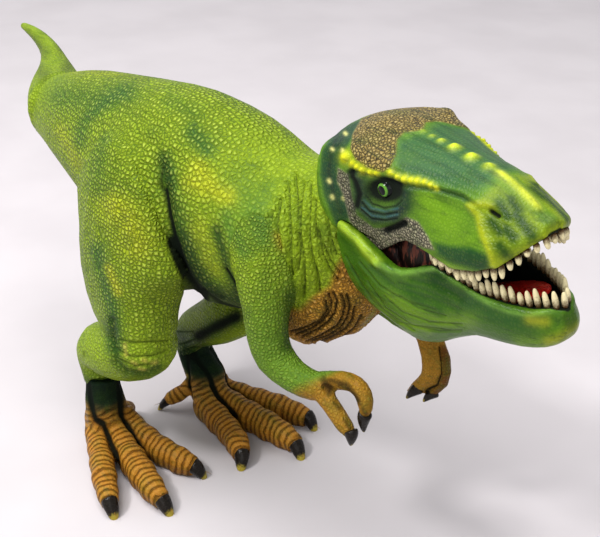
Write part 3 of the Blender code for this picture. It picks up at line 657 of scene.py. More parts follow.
# %% Paint the tail
TAIL_REACH = 2.5 * MM
TAIL_LIFT = 1.8 * MM
LIFTED = (-104, -74)
TAIL_ROOT = (-118, -78)
TAIL_RINGS = (((32, 62), (44, 74), (50, 90)), ((26, 36), (36, 42), (44, 52)))
points = fill_corner(tail, [torso], TAIL_REACH)
points[:, 2] += TAIL_LIFT * fade(points[:, 0] / MM, *LIFTED)
pixels = near_pixels(points)
paint = start_paint(len(points))
spray_all(paint, pixels, BODY_SPRAY + ((OLIVE, 0.55, 8, TAIL_RINGS),))
scales = 0.3 + 0.25 * fade(points[:, 0] / MM, *TAIL_ROOT)
finish_skin(tail, points, paint, np.zeros(len(points)), scales)

# %% Lines and strokes of the legs; heights are in mm
KNEE_FOLDS = (
    ((121, 340), (135, 343), (168, 341)),
    ((118, 349), (131, 357), (152, 356), (167, 350)),
    ((121, 360), (135, 366), (152, 364)),
)
CALF_CREASE = (((112, 320), (114, 345), (117, 363), (128, 372), (145, 374), (158, 368)),)
KNEE_SPOTS = (((125, 345), (126, 355)), ((132, 362), (136, 364)), ((143, 360), (146, 361)),
              ((152, 363), (156, 362)), ((140, 369), (144, 370)))
HEEL_SPOT = (((84, 352), (84, 356)),)
INNER_SHADE = (((199, 336), (214, 328), (236, 317)), ((190, 362), (195, 380)))
INNER_GREEN = (((181, 338), (186, 352), (198, 366), (208, 376)),)
# The deep green along the calf crease is painted shade; the cream knee spots are paint.
LEG_SPRAY = ((DEEP_GREEN, 0.75, 6, CALF_CREASE), (KNEE_CREAM, 0.55, 2.2, KNEE_SPOTS))
# Painted shade on the inner side of the far leg.
INNER_SHADE_SPRAY = ((DEEP_GREEN, 0.9, 12, INNER_GREEN), (INNER_SHADE_DARK, 0.95, 11, INNER_SHADE))
# In this wash the deep and dark creases and the thigh's edge are painted shade; the knee folds and the heel
# spot take dark wash.
LEG_WASH_AND_SHADE = ((0.6, 1.5, KNEE_FOLDS), (0.5, 2, HEEL_SPOT), (0.9, 2.8, DEEP_CREASE), (1, 6, DARK_CREASE),
            (0.9, 3.5, THIGH_EDGE))
ANKLE = (36, 26)
SHANK = (70, 40)

# %% Fold and paint the legs
for side, leg in legs.items():
    normals = read_normals(leg)
    pixels = near_pixels(read_points(leg))
    points = fill_corner(leg, [torso], CORNER_REACH, keep_crease)
    carving = groove(pixels, KNEE_FOLDS, 1.7, 0.35) + groove(pixels, CALF_CREASE, 3.0, 0.6)
    points += normals * (carving * MM)[:, None]
    height = points[:, 2] / MM
    paint = start_paint(len(points))
    spray_all(paint, pixels, BODY_SPRAY + LEG_SPRAY)
    spray(paint, 0.55 * fade(height, *ANKLE), DEEP_GREEN)
    wash_and_shade = darkest(pixels, LEG_WASH_AND_SHADE)
    if side == "left":
        # Painted shade: the far leg's inner side in deep green and near black, with dark wash along its line.
        seen = to_pixels(points)
        spray_all(paint, seen, INNER_SHADE_SPRAY)
        wash_and_shade = np.maximum(wash_and_shade, 0.8 * on_lines(seen, INNER_SHADE, 7))
    finish_skin(leg, points, paint, wash_and_shade, 1 - 0.5 * fade(height, *SHANK))

# %% [markdown]
# ## Feet
#
# Each foot is three long toes and a short one behind, banded with dark cross lines like a bird's. The
# toes run up over the instep as separate strands with dark gaps. Every point of a foot is measured along
# its nearest toe: that length drives the bands, and the difference between the two nearest toes drives
# the gaps.

# %% Middle lines of the toes, from the instep to the tip, beside the ball of the foot
ANKLE_HEIGHTS = {"right": 27 * MM, "left": 21 * MM}
BALLS = {"right": (-6.84 * MM, -20.5 * MM), "left": (-4.04 * MM, 17.9 * MM)}
FOOT_TURNS = {"right": 0.0, "left": math.radians(5)}
OUTWARD = {"right": -1, "left": 1}
TOE_LINES = (
    ((-5.5, 3.6, 14.0), (-1.8, 4.2, 6.9), (9.2, 7.9, 5.4), (20.7, 13.0, 5.1), (30.8, 16.6, 3.9),
     (35.9, 17.3, 1.2)),
    ((-2.3, -0.6, 15.0), (2.8, -0.7, 8.1), (14.3, 1.1, 6.0), (27.6, 2.9, 5.4), (38.2, 3.6, 4.2),
     (44.6, 2.5, 1.2)),
    ((-2.0, -4.6, 14.0), (4.6, -6.1, 7.5), (16.1, -7.9, 5.7), (25.8, -10.4, 5.1), (31.7, -13.3, 3.9),
     (35.0, -16.9, 1.2)),
    ((-6.5, -4.0, 13.0), (-5.1, -7.9, 8.1), (-7.8, -11.9, 5.1), (-12.9, -15.5, 1.5)),
)


def toe_points(side):
    """The toes' middle lines in place, as arrays."""
    turn = Matrix.Rotation(OUTWARD[side] * FOOT_TURNS[side], 3, "Z")
    ball = Vector((*BALLS[side], 0))
    placed = []
    for line in TOE_LINES:
        spots = [Vector((x, OUTWARD[side] * y, z)) * MM for x, y, z in line]
        placed.append([np.array(turn @ spot + ball) for spot in spots])
    return placed


def measure_line(points, line):
    """For each point, its distance from a line in space, the length along it and the nearest spot on it."""
    nearest = np.full(len(points), np.inf)
    length_at = np.zeros(len(points))
    spots = np.zeros_like(points)
    done = 0.0
    for start, end in zip(line, line[1:]):
        along = end - start
        length = np.linalg.norm(along)
        share = np.clip((points - start) @ along / length ** 2, 0, 1)
        spot = start + share[:, None] * along
        away = np.linalg.norm(points - spot, axis=1)
        closer = away < nearest
        nearest = np.where(closer, away, nearest)
        length_at = np.where(closer, done + share * length, length_at)
        spots = np.where(closer[:, None], spot, spots)
        done += length
    return nearest, length_at, spots


def length_of(line):
    return sum(np.linalg.norm(end - start) for start, end in zip(line, line[1:]))


# %% Carve and paint the feet; heights are shares of the ankle's height
CLAW_LENGTH = 7.0 * MM
CLAW_STEP = 2 * MM
GAP_WIDTH = 1.3 * MM
GAP_DEPTH = 0.7 * MM
PAD_LENGTH = 7.5 * MM
PAD_SWELL = 0.05
for side, foot in feet.items():
    points, normals = read_points(foot), read_normals(foot)
    lines = toe_points(side)
    away, along, middle = map(np.array, zip(*(measure_line(points, line) for line in lines)))
    nearest, second = np.sort(away, axis=0)[:2]
    own = (away.argmin(axis=0), np.arange(len(points)))
    along, middle = along[own], middle[own]
    to_tip = np.array([length_of(line) for line in lines])[own[0]] - along
    shrink = 0.3 * fade(to_tip, CLAW_LENGTH, CLAW_LENGTH - CLAW_STEP)
    shrink += 0.65 * fade(to_tip, 0.75 * CLAW_LENGTH, 0.75 * CLAW_LENGTH - CLAW_STEP)
    points += (middle - points) * shrink[:, None]
    pads = np.sin(2 * math.pi * along / PAD_LENGTH) * fade(to_tip, CLAW_LENGTH, CLAW_LENGTH + 3 * MM)
    points += (points - middle) * (PAD_SWELL * pads)[:, None]
    gap = np.exp(-((second - nearest) / GAP_WIDTH) ** 2) * fade(points[:, 2], 1.5 * MM, 4.5 * MM)
    points -= normals * (GAP_DEPTH * gap)[:, None]
    points[:, 2] = np.maximum(points[:, 2], 0)
    height = points[:, 2] / ANKLE_HEIGHTS[side]
    paint = start_paint(len(points), OCHRE)
    # Painted shade: browner on the low faces of the toes that turn downwards.
    spray(paint, 0.7 * fade(height, 0.3, 0) * fade(normals[:, 2], 0.5, -0.4), TOE_SHADE_BROWN)
    spray(paint, fade(height, 0.42, 0.78), ANKLE_GREEN)
    # The near black in the gaps between the toe strands is dark wash with painted shade; the darker top of
    # the foot is its paint.
    wash_and_shade = np.maximum(0.95 * gap, 0.62 * fade(height, 0.45, 0.8))
    finish_skin(foot, points, paint, wash_and_shade, np.full(len(points), 0.25))
    keep_values(foot, "Along", along / MM)
    keep_values(foot, "Bands", fade(height, 0.75, 0.55) * (1 - gap))

# %% [markdown]
# ## Arms
#
# The arms are green down to the wrist and ochre below, with black paint worked into the knuckles.

# %% Wrists, each with its way to the fingers in mm, and lines of the hands
WRISTS = {"right": ((82.0, -5.5, 63.5), (15.2, -4.0, -9.7)), "left": ((80.0, 36.0, 68.0), (10.0, 1.0, -8.0))}
ARM_SWELL = 5 * MM
HAND_SLIM = 0.55 * MM
FINGER_GAP_DEPTH = 0.7 * MM
HAND_BLOTCHES = (((324, 384), (330, 389)), ((338, 386), (346, 390)), ((351, 396), (358, 404)),
                 ((362, 410), (366, 416)), ((335, 402), (340, 407)), ((346, 420), (350, 428)))
ARM_SHADE = (((290, 296), (290, 324), (287, 346)),)
FINGER_GAP = (((440, 348), (441, 374), (436, 387), (424, 395)),)
FAR_FINGER = ((441, 345), (450, 346), (456, 372), (450, 392), (436, 402), (426, 398), (437, 386), (441, 372))
KNUCKLE_WASH = (((328, 380), (345, 385), (356, 400)), ((322, 378), (330, 392)))

# %% Paint the arms; the length beyond the wrist is in mm
for side, arm in arms.items():
    normals = read_normals(arm)
    points = fill_corner(arm, [torso], ARM_SWELL)
    pixels = to_pixels(points)
    spot, forward = np.array(WRISTS[side])
    beyond = (points / MM - spot) @ forward / np.linalg.norm(forward)
    points -= normals * (HAND_SLIM * fade(beyond, -14, 0))[:, None]
    paint = start_paint(len(points))
    spray_all(paint, near_pixels(points), BODY_SPRAY)
    spray(paint, 0.5 * fade(beyond, -34, -10), TEAL)
    # Painted shade: deep green on the faces of the arm that turn backwards.
    spray(paint, 0.8 * fade(-normals[:, 0], 0.35, 0.85) * fade(beyond, -38, -26), DEEP_GREEN)
    spray(paint, fade(beyond, -1.5, 2.5), HAND_OCHRE)
    wash_and_shade = 0.25 * fade(beyond, 0, 5)
    if side == "right":
        spray(paint, 0.55 * on_lines(pixels, ARM_SHADE, 7), DEEP_GREEN)
        spray(paint, 0.7 * on_lines(pixels, HAND_BLOTCHES, 3) * fade(beyond, 0, 3), BLOTCH_BROWN)
        wash_and_shade = np.maximum(wash_and_shade, 0.6 * on_lines(pixels, KNUCKLE_WASH, 5))
    else:
        # Painted shade: brown on the far hand's back finger where it turns away, and dark wash in the carved
        # gap between its fingers.
        turned = fade(normals @ np.array(CAMERA_SIGHT), 0.25, -0.25)
        spray(paint, 0.75 * turned * in_patch(pixels, FAR_FINGER, 2.5), FAR_FINGER_SHADE)
        wash_and_shade = np.maximum(wash_and_shade, 0.9 * on_lines(pixels, FINGER_GAP, 1.2))
        points -= normals * (FINGER_GAP_DEPTH * on_lines(pixels, FINGER_GAP, 2))[:, None]
    finish_skin(arm, points, paint, wash_and_shade, 0.75 - 0.4 * fade(beyond, -25, -5))
print("body painted")

# %% [markdown]
# ## The head
#
# The head carries most of the detail: a pitted tan patch over the crown, a row of yellow knobs over the
# eye, more of them down the nose, a grey pebbled cheek and a smooth lime cheekbone. A knob is a small
# swelling at one pixel, a wrinkle is a carved line, and a patch is an outline that is filled with paint.

# %% Lines of the head
BROW_KNOBS = ((346, 157, 4.5, 1.0), (353, 163, 3, 0.7), (358, 166, 2.6, 0.6), (364, 169, 3.5, 0.8),
              (371, 172, 3, 0.6), (377, 173, 2.6, 0.5), (391, 173, 3, 0.5), (398, 177, 3, 0.7),
              (405, 179, 3.2, 0.9), (412, 180, 2.6, 0.7), (418, 181, 3, 0.8), (425, 182, 2.4, 0.5),
              (431, 185, 2.4, 0.5), (436, 188, 2, 0.4))
NOSE_KNOBS = ((17.5, 0.8, 0.3), (20.5, 0.8, 0.4), (23.6, 0.9, 0.6), (27.8, 1.2, 1.0), (33.2, 1.3, 1.0),
              (38.4, 1.2, 0.8))
NOSE_RIDGE = (41.0, 53.0, 1.1)
KNOBS_BOTTOM = 12
RIDGE_BOTTOM = 11
COLLAR_SPOTS = (((345, 133), (346, 134)), ((357, 132), (358, 133)), ((332, 149), (333, 150)),
                ((342, 150), (343, 151)), ((329, 180), (330, 182)), ((340, 183), (341, 184)),
                ((332, 196), (333, 198)), ((343, 198), (344, 199)), ((332, 229), (333, 230)))
COLLAR_PATCH = ((360, 119), (336, 130), (322, 151), (317, 175), (322, 197), (333, 222),
                (344, 228), (350, 218),
                (346, 200), (339, 183), (337, 168), (343, 154), (353, 137), (361, 124))
COLLAR_STREAKS = (((338, 136), (331, 152), (329, 172), (333, 192), (341, 212)), ((346, 131), (338, 146)))
COLLAR_RIM = (((350, 117), (332, 131), (321, 152), (320, 175), (324, 196), (332, 216), (336, 228)),)
CROWN_PATCH = ((362, 119), (386, 110), (406, 111), (422, 111), (434, 108), (443, 111), (448, 118), (449, 126),
               (438, 131), (422, 131), (404, 133), (397, 140), (396, 155), (390, 168), (384, 172),
               (370, 168), (356, 159), (351, 149), (353, 135), (358, 126))
CHEEK_PATCH = ((338, 168), (349, 174), (352, 195), (357, 215), (374, 228), (390, 229), (406, 217), (418, 222),
               (428, 237), (434, 250), (420, 247), (399, 248), (386, 256), (376, 256), (367, 243),
               (350, 222), (344, 197), (337, 180))
CHEEK_HOLE = (((386, 231), (394, 228), (402, 224)),)
SNOUT_ROOT = ((399, 140), (422, 133), (456, 131), (472, 138), (486, 148), (496, 160), (498, 176), (478, 190),
              (455, 190), (440, 184), (400, 174), (396, 160))
SNOUT_VEINS = (
    ((404, 146), (424, 158), (446, 166), (470, 182)), ((414, 138), (440, 148), (462, 162), (484, 178)),
    ((402, 164), (426, 172), (448, 178)), ((432, 134), (452, 140), (474, 152)),
)
LIP_SHADE = ((434, 243), (450, 246), (470, 247), (488, 256), (494, 268), (480, 271), (450, 262), (438, 254))
NOSE_FRONT = ((474, 204), (498, 184), (520, 200), (545, 224), (566, 226), (545, 243), (520, 256), (494, 267),
              (484, 236))
FAR_SNOUT = (((530, 185), (540, 200), (553, 218)),)
BROW_SHADE = (((352, 171), (376, 177), (398, 184), (414, 187), (438, 190), (462, 197), (474, 205)),)
CHEEK_LIGHT = (((425, 200), (448, 222), (462, 238)),)
EYE_PIXEL = (385, 189)
HOLLOW_PIXEL = (385, 190)
HOLLOW_SIZE = (17, 12)
EYE_TEAL = (((359, 178), (360, 192), (363, 207), (376, 217), (394, 216), (405, 205), (406, 194)),)
EYE_WRINKLES = (
    ((366, 196), (372, 204), (384, 208), (396, 206), (403, 200)),
    ((363, 202), (370, 211), (384, 214), (398, 212)),
    ((362, 209), (372, 218), (386, 220), (398, 218)),
)
EYE_RIDGES = (
    ((365, 200), (373, 208), (386, 211), (399, 208)),
    ((363, 207), (373, 215), (386, 217), (399, 214)),
)
TEMPLE_SHADE = (((351, 172), (356, 182), (360, 194), (357, 206)),)
SNOUT_STRIPE = (((470, 205), (478, 215), (483, 235), (490, 251), (495, 266)),
                ((470, 205), (484, 204), (494, 206)))
LIP_STRIPE = (((495, 267), (510, 259), (526, 253), (542, 243), (558, 233), (566, 227)),)
LIP_EDGE = (((377, 262), (386, 257), (400, 250), (414, 247), (426, 253), (438, 263), (455, 269), (475, 274),
             (494, 273)),)
NOSTRIL = (((491, 211), (498, 216)),)
MOTTLES = (((492, 222), (500, 232)), ((506, 230), (513, 238)), ((500, 246), (506, 254)),
           ((516, 214), (523, 224)), ((500, 204), (508, 216)), ((511, 201), (518, 210)),
           ((526, 228), (532, 236)))
FAR_HORN = ((449, 111, 9, 1.43),)
HORN_GREEN = (((446, 108), (455, 115), (460, 127)),)


# %% Strokes of the head: height in mm, strength or colour, width in pixels, lines or outline
HEAD_CARVING = (
    (0.5, 6, BROW_SHADE), (-0.9, 2.4, BROW_SHADE), (0.4, 8, EYE_TEAL), (-0.3, 1.3, EYE_WRINKLES),
    (-1.3, 4, CHEEK_HOLE), (-1.2, 2.2, NOSTRIL), (0.5, 5, COLLAR_RIM), (-0.5, 3, TEMPLE_SHADE),
    (0.4, 4, SNOUT_STRIPE), (0.3, 3, LIP_EDGE), (0.4, 3, CROWN_PATCH),
)
# The temple, the cheek hole and the nostril in this wash are painted shade; the eye wrinkles take dark wash.
HEAD_WASH_AND_SHADE = ((0.85, 4, TEMPLE_SHADE), (1, 4.5, CHEEK_HOLE), (1, 2.6, NOSTRIL), (0.7, 1.2, EYE_WRINKLES))
FIRST_COATS = (
    (colour(62, 104, 66), 0.92, 7, SNOUT_ROOT),
    (colour(28, 74, 48), 0.45, 2.2, SNOUT_VEINS),
    (colour(124, 158, 30), 0.5, 15, CHEEK_LIGHT),
    (colour(26, 80, 40), 0.95, 4, LIP_SHADE),
    (colour(134, 152, 22), 0.9, 5, NOSE_FRONT),
    (colour(104, 118, 70), 0.7, 8, FAR_SNOUT),
    (colour(18, 70, 50), 0.95, 3, COLLAR_PATCH),
    (colour(112, 150, 44), 0.8, 2.5, COLLAR_RIM),
    (colour(10, 44, 40), 0.7, 2.2, COLLAR_STREAKS),
    (colour(214, 210, 140), 0.9, 1.9, COLLAR_SPOTS),
)
EYE_COATS = (
    (colour(10, 44, 48), 0.95, 10, EYE_TEAL),
    (colour(70, 112, 116), 0.7, 1.1, EYE_RIDGES),
    (colour(20, 62, 42), 0.75, 3.2, BROW_SHADE),
)
SNOUT_COATS = (
    (colour(164, 172, 36), 0.9, 3.8, SNOUT_STRIPE),
    (colour(176, 188, 42), 0.9, 6, LIP_STRIPE),
    (colour(40, 74, 12), 0.95, 7, MOTTLES),
)


# %% Masks that only the head and the jaw need
def facing_near(normals):
    """How far the head's hide turns to the camera, after the far side is folded over."""
    turned = normals @ HEAD_AXES
    turned[:, 1] = -np.abs(turned[:, 1])
    return fade(turned @ HEAD_AXES.T @ np.array(CAMERA_SIGHT), 0.15, -0.1)


def beside_lip(local, line):
    """Millimetres forward of the hinge, inwards from the edge of a lip, and above it."""
    width, height = line_at(line, local[:, 0])
    return local[:, 0] / MM, (width - np.abs(local[:, 1])) / MM, (local[:, 2] - height) / MM


def gum_line(inset, past_lip, turned, from_teeth):
    """Mask of the gums, where dark wash stays between the teeth."""
    return fade(inset, 0.3, 1.0) * fade(past_lip, 1.6, 0.8) * fade(turned, 0, 1 / 3) * (from_teeth > -1)


def knobs(pixels, places):
    """Swelling in millimetres, and mask, of a row of round knobs."""
    swell = np.zeros(len(pixels))
    mask = np.zeros(len(pixels))
    for u, v, radius, height in places:
        one = np.exp(-(np.hypot(pixels[:, 0] - u, pixels[:, 1] - v) / radius) ** 2)
        swell = np.maximum(swell, height * one)
        mask = np.maximum(mask, one)
    return swell, mask


def nose_knobs(local):
    """Swelling and mask of the knobs on the middle line, given by place, radius and height in mm."""
    forward, sideways, height = (local / MM).T
    swell = np.zeros(len(local))
    for place, radius, rise in NOSE_KNOBS:
        swell = np.maximum(swell, rise * np.exp(-(np.hypot(forward - place, sideways) / radius) ** 2))
    swell *= height > KNOBS_BOTTOM
    return swell, np.minimum(1, 1.4 * swell)


def nose_ridge(local):
    forward, sideways, height = (local / MM).T
    start, end, width = NOSE_RIDGE
    mask = np.exp(-(sideways / width) ** 2) * fade(forward, start - 2, start + 1)
    return mask * fade(forward, end, end - 3) * (height > RIDGE_BOTTOM)


# %% Carve the head
points, normals = read_points(head), read_normals(head)
pixels = near_head_pixels(points)
local = to_head(points)
turned_up = (normals @ HEAD_AXES)[:, 2]
forward, inset, above = beside_lip(local, LIP_LINE)
mouth = fade(inset, 1.3, 2.1) * fade(above, 8.5, 7.5) * fade(forward, 4, 7) * fade(forward, 51, 49)
mouth *= fade(turned_up, 0.45, -0.05)
facing = facing_near(normals)
outside = (1 - mouth) * facing
brow_swell, brow_mask = knobs(pixels, BROW_KNOBS)
nose_swell, nose_mask = nose_knobs(local)
ridge = nose_ridge(local)
eye_hollow = np.exp(-np.hypot(*((pixels - HOLLOW_PIXEL) / HOLLOW_SIZE).T) ** 4)
carving = brow_swell + nose_swell + 0.5 * ridge - 1.3 * eye_hollow + raised(pixels, HEAD_CARVING)
carving += knobs(to_pixels(points), FAR_HORN)[0] * (local[:, 1] > 3 * MM)
points += normals * (carving * outside * MM)[:, None]
print("head carved from", round(carving.min(), 1), "to", round(carving.max(), 1), "mm")

# %% Paint the head
HEAD_BASE = colour(100, 136, 34)
HORN_TONE = colour(96, 136, 50)
CHEEK_GREY = colour(156, 150, 130)
RIDGE_YELLOW = colour(206, 210, 76)
BROW_YELLOW = colour(214, 212, 40)
NOSE_YELLOW = colour(200, 212, 60)
LIP_GREEN = colour(150, 176, 74)
HEAD_REAR = colour(30, 82, 46)
MOUTH_ROOF = colour(30, 10, 6)
paint = start_paint(len(points), HEAD_BASE)
spray_all(paint, pixels, FIRST_COATS)
crown = in_patch(pixels, CROWN_PATCH, 1.2)
cheek = in_patch(pixels, CHEEK_PATCH, 1.6)
spray(paint, crown, TAN)
spray(paint, 0.8 * (1 - crown) * on_lines(pixels, HORN_GREEN, 5), HORN_TONE)
spray(paint, cheek, CHEEK_GREY)
spray_all(paint, pixels, EYE_COATS)
spray(paint, 0.85 * ridge, RIDGE_YELLOW)
spray_all(paint, pixels, SNOUT_COATS)
spray(paint, 0.95 * np.sqrt(brow_mask), BROW_YELLOW)
spray(paint, 0.9 * nose_mask, NOSE_YELLOW)
spray(paint, 0.8 * on_lines(pixels, LIP_EDGE, 2.6), LIP_GREEN)
spray(paint, 1 - facing, HEAD_REAR)
spray(paint, mouth, MOUTH_ROOF)
# The wash here also paints shade into the temple, the cheek hole and the nostril.
wash_and_shade = np.maximum(1.1 * np.sqrt(eye_hollow), darkest(pixels, HEAD_WASH_AND_SHADE)) * (1 - 0.8 * brow_mask) * facing
gum = gum_line(inset, above, -turned_up, forward - UPPER_TEETH_FROM / MM)
wash_and_shade = np.maximum.reduce((wash_and_shade, 0.7 * mouth, 0.95 * gum))
finish_skin(head, points, paint, wash_and_shade, 0.18 * outside * (1 - crown) * (1 - cheek))
keep_values(head, "Pits", np.maximum(crown, cheek) * outside)

# %% [markdown]
# ## The lower jaw
#
# A bright ridge runs down behind the mouth's corner, the sides are sprayed dark, and thin stretched
# folds run along the throat.

# %% Lines of the lower jaw
JAW_RIDGE = (((341, 224), (357, 238), (367, 251), (378, 262)),)
JAW_RIM = (((378, 263), (390, 270), (402, 273), (420, 271), (438, 268), (450, 277), (470, 291), (490, 303),
            (510, 311), (530, 315), (550, 311), (567, 298)),)
JAW_DARK = (((432, 280), (446, 288), (462, 298)), ((428, 272), (444, 279)))
JAW_TEAL = (((470, 302), (500, 318), (530, 326)),)
JAW_BACK = (((344, 236), (351, 254), (362, 274)), ((404, 290), (420, 302), (440, 310)))
JAW_LIGHT = (((392, 296), (412, 312), (440, 322), (470, 322)), ((372, 304), (396, 322), (428, 330)),
             ((520, 345), (545, 344), (562, 336)))
JAW_FOLDS = (((372, 268), (396, 288), (430, 298), (458, 310)), ((398, 284), (424, 290), (450, 302)),
             ((412, 280), (436, 286), (456, 296)))
THROAT_LINES = (
    ((360, 262), (380, 286), (404, 300), (436, 310)), ((346, 256), (362, 286), (384, 310), (414, 330)),
    ((352, 268), (372, 300), (398, 322), (440, 331), (462, 330)),
    ((368, 282), (386, 308), (412, 325), (450, 330)),
    ((384, 296), (402, 312), (430, 322), (462, 324)),
    ((400, 296), (418, 308), (446, 316)),
)
CHIN_LIGHT = (((548, 342), (562, 338), (572, 330)), ((530, 320), (545, 322)))
CHIN_DARK = (((566, 318), (570, 326)),)

# %% Strokes of the lower jaw
JAW_CARVING = ((0.7, 5, JAW_RIDGE), (0.4, 4, JAW_RIM), (0.2, 3.5, THROAT_LINES), (-0.35, 1.3, THROAT_LINES),
               (-0.4, 6, JAW_DARK), (-0.3, 3, JAW_FOLDS))
JAW_SPRAY = (
    (colour(24, 70, 14), 0.9, 9, JAW_DARK),
    (colour(44, 86, 44), 0.75, 11, JAW_TEAL),
    (colour(128, 160, 30), 0.6, 8, JAW_LIGHT),
    (colour(34, 78, 14), 0.6, 3.5, JAW_FOLDS),
    (colour(44, 90, 12), 0.6, 6, JAW_BACK),
    (colour(166, 190, 62), 0.9, 4.5, JAW_RIDGE),
    # Painted highlight: the pale line along the jaw's rim.
    (colour(150, 190, 96), 0.45, 3, JAW_RIM),
    (colour(170, 168, 48), 0.6, 6, CHIN_LIGHT),
    (colour(60, 84, 30), 0.5, 5, CHIN_DARK),
)

# %% Carve and paint the lower jaw
JAW_BASE = colour(80, 118, 26)
JAW_REAR = colour(62, 98, 22)
points, normals = read_points(jaw), read_normals(jaw)
pixels = near_head_pixels(points)
local = to_head(points)
forward, inset, above = beside_lip(local, RIM_LINE)
inward = -(normals @ HEAD_AXES)[:, 1] * np.sign(local[:, 1])
facing_in = np.maximum((normals @ HEAD_AXES)[:, 2], inward)
mouth = np.maximum(fade(inset, 1.6, 2.3), fade(inset, 0.2, 1.0) * (inward > 0.3))
mouth *= fade(3 * facing_in, -0.2, 0.8) * fade(above, -0.4, -1.2) * (forward > 0)
gum = gum_line(inset, -above, facing_in, forward - LOWER_TEETH_FROM / MM)
points += normals * (raised(pixels, JAW_CARVING) * (1 - mouth) * MM)[:, None]
paint = start_paint(len(points), JAW_BASE)
spray_all(paint, pixels, JAW_SPRAY)
spray(paint, 1 - facing_near(normals), JAW_REAR)
spray(paint, mouth, MOUTH_DARK)
wash_and_shade = np.maximum.reduce((0.45 * on_lines(pixels, THROAT_LINES, 1.2), 0.8 * mouth, 0.95 * gum))
finish_skin(jaw, points, paint, wash_and_shade, 0.12 * (1 - mouth))

# %% [markdown]
# ## Skin behind the mouth
#
# On the toy the corner of the mouth is closed by dark flesh, so no light comes through between the jaws.
# A bevelled block behind the lining does the same and stays clear of the moving jaw. Behind it a round
# plug of skin joins the neck to the mouth: it is dark in front and painted like the hide behind.

# %% Block the corner of the mouth
CORNER_MIDDLE = np.array((7.9, 0, -3.5)) * MM
CORNER_SIZE = np.array((7.0, 23.2, 12.2)) * MM
CORNER_BEVEL = 1.5 * MM
choose()
bpy.ops.mesh.primitive_cube_add(size=1)
mouth_corner = bpy.context.active_object
mouth_corner.name = "mouth_corner"
write_points(mouth_corner, from_head(read_points(mouth_corner) * CORNER_SIZE + CORNER_MIDDLE))
apply_modifier(mouth_corner, "BEVEL", width=CORNER_BEVEL, segments=3)
mouth_corner.data.shade_smooth()
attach(mouth_corner, "figure")

# %% Plug the throat
THROAT_MIDDLE = np.array((-2.5, 0, -4.5)) * MM
THROAT_RADII = np.array((9.5, 12.0, 9.5)) * MM
choose()
bpy.ops.mesh.primitive_uv_sphere_add(segments=48, ring_count=24, radius=1)
throat_plug = bpy.context.active_object
throat_plug.name = "throat_plug"
local = read_points(throat_plug) * THROAT_RADII + THROAT_MIDDLE
PLUG_GREEN = colour(96, 128, 34)
behind = fade(local[:, 0] / MM, 1, -3)
paint = start_paint(len(local), MOUTH_DARK)
spray(paint, behind, PLUG_GREEN)
finish_skin(throat_plug, from_head(local), paint, 0.8 * (1 - behind), 0.5 * behind)
throat_plug.data.shade_smooth()
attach(throat_plug, "figure")
print("mouth corner and throat closed")

# %% [markdown]
# ## Teeth
#
# The teeth are blunt pegs, cream with brown wash in the gaps, and they lean a little outwards. One tooth
# is modelled from a short cylinder: its top is drawn up in two steps and narrowed, and a subdivision
# rounds it. Copies of its mesh follow the lips, so each row can become one piece.

# %% Model one tooth; each step has a rise, as a share of the height, and a share of the width
TOOTH_RADIUS = 0.8 * MM
TOOTH_HEIGHT = 3.9 * MM
TOOTH_SIDES = 8
TOOTH_STUB = 0.45
TOOTH_STEPS = ((0.33, 0.82), (0.22, 0.45))


def choose_top(thing):
    """In edit mode, selects only the highest faces."""
    mesh = bmesh.from_edit_mesh(thing.data)
    top = max(face.calc_center_median().z for face in mesh.faces)
    for face in mesh.faces:
        face.select_set(abs(face.calc_center_median().z - top) < WELD)
    bmesh.update_edit_mesh(thing.data)


def draw_out(thing, move, share):
    """In edit mode, extrudes the highest faces and narrows them."""
    choose_top(thing)
    bpy.ops.mesh.extrude_region_move(TRANSFORM_OT_translate={"value": move})
    bpy.ops.transform.resize(value=(share, share, 1))


def add_tooth_pattern():
    choose()
    stub = TOOTH_STUB * TOOTH_HEIGHT
    bpy.ops.mesh.primitive_cylinder_add(vertices=TOOTH_SIDES, radius=TOOTH_RADIUS, depth=stub,
                                        location=(0, 0, stub / 2))
    tooth = bpy.context.active_object
    bpy.ops.object.transform_apply(location=True)
    bpy.ops.object.mode_set(mode="EDIT")
    bpy.ops.mesh.select_mode(type="FACE")
    for rise, share in TOOTH_STEPS:
        draw_out(tooth, (0, 0, rise * TOOTH_HEIGHT), share)
    bpy.ops.object.mode_set(mode="OBJECT")
    apply_modifier(tooth, "SUBSURF", levels=1, render_levels=1)
    return tooth


# %% Even places along a lip
ROW_STEPS = 60
NARROWEST = 0.2 * MM
AHEAD_STEP = 0.2 * MM


def even_spots(lip, inset, start, count):
    """Evenly spaced places inside a lip, each with its outward direction, from right to left."""
    half = [(x, max(np.interp(x, lip[:, 0], lip[:, 1]) - inset, NARROWEST))
            for x in np.linspace(start, lip[-1, 0] - 0.6 * inset, ROW_STEPS)][1:]
    outline = np.array([(x, -y) for x, y in half] + half[::-1])
    steps = np.linalg.norm(np.diff(outline, axis=0), axis=1)
    length = np.concatenate(([0], np.cumsum(steps)))
    found = []
    for step in range(count):
        here = (step + 0.5) / count * length[-1]
        spot, ahead = (np.array([np.interp(place, length, outline[:, axis]) for axis in (0, 1)])
                       for place in (here, here + AHEAD_STEP))
        along = (ahead - spot) / np.linalg.norm(ahead - spot)
        found.append((spot, np.array((along[1], -along[0]))))
    return found


# %% Set copies of the tooth along the lips
TOOTH_SINK = 0.5 * MM
TOOTH_STRETCH = {-1: 0.82, 1: 1.15}
SMALL_FROM = 47 * MM
SMALL_SHARE = 0.75


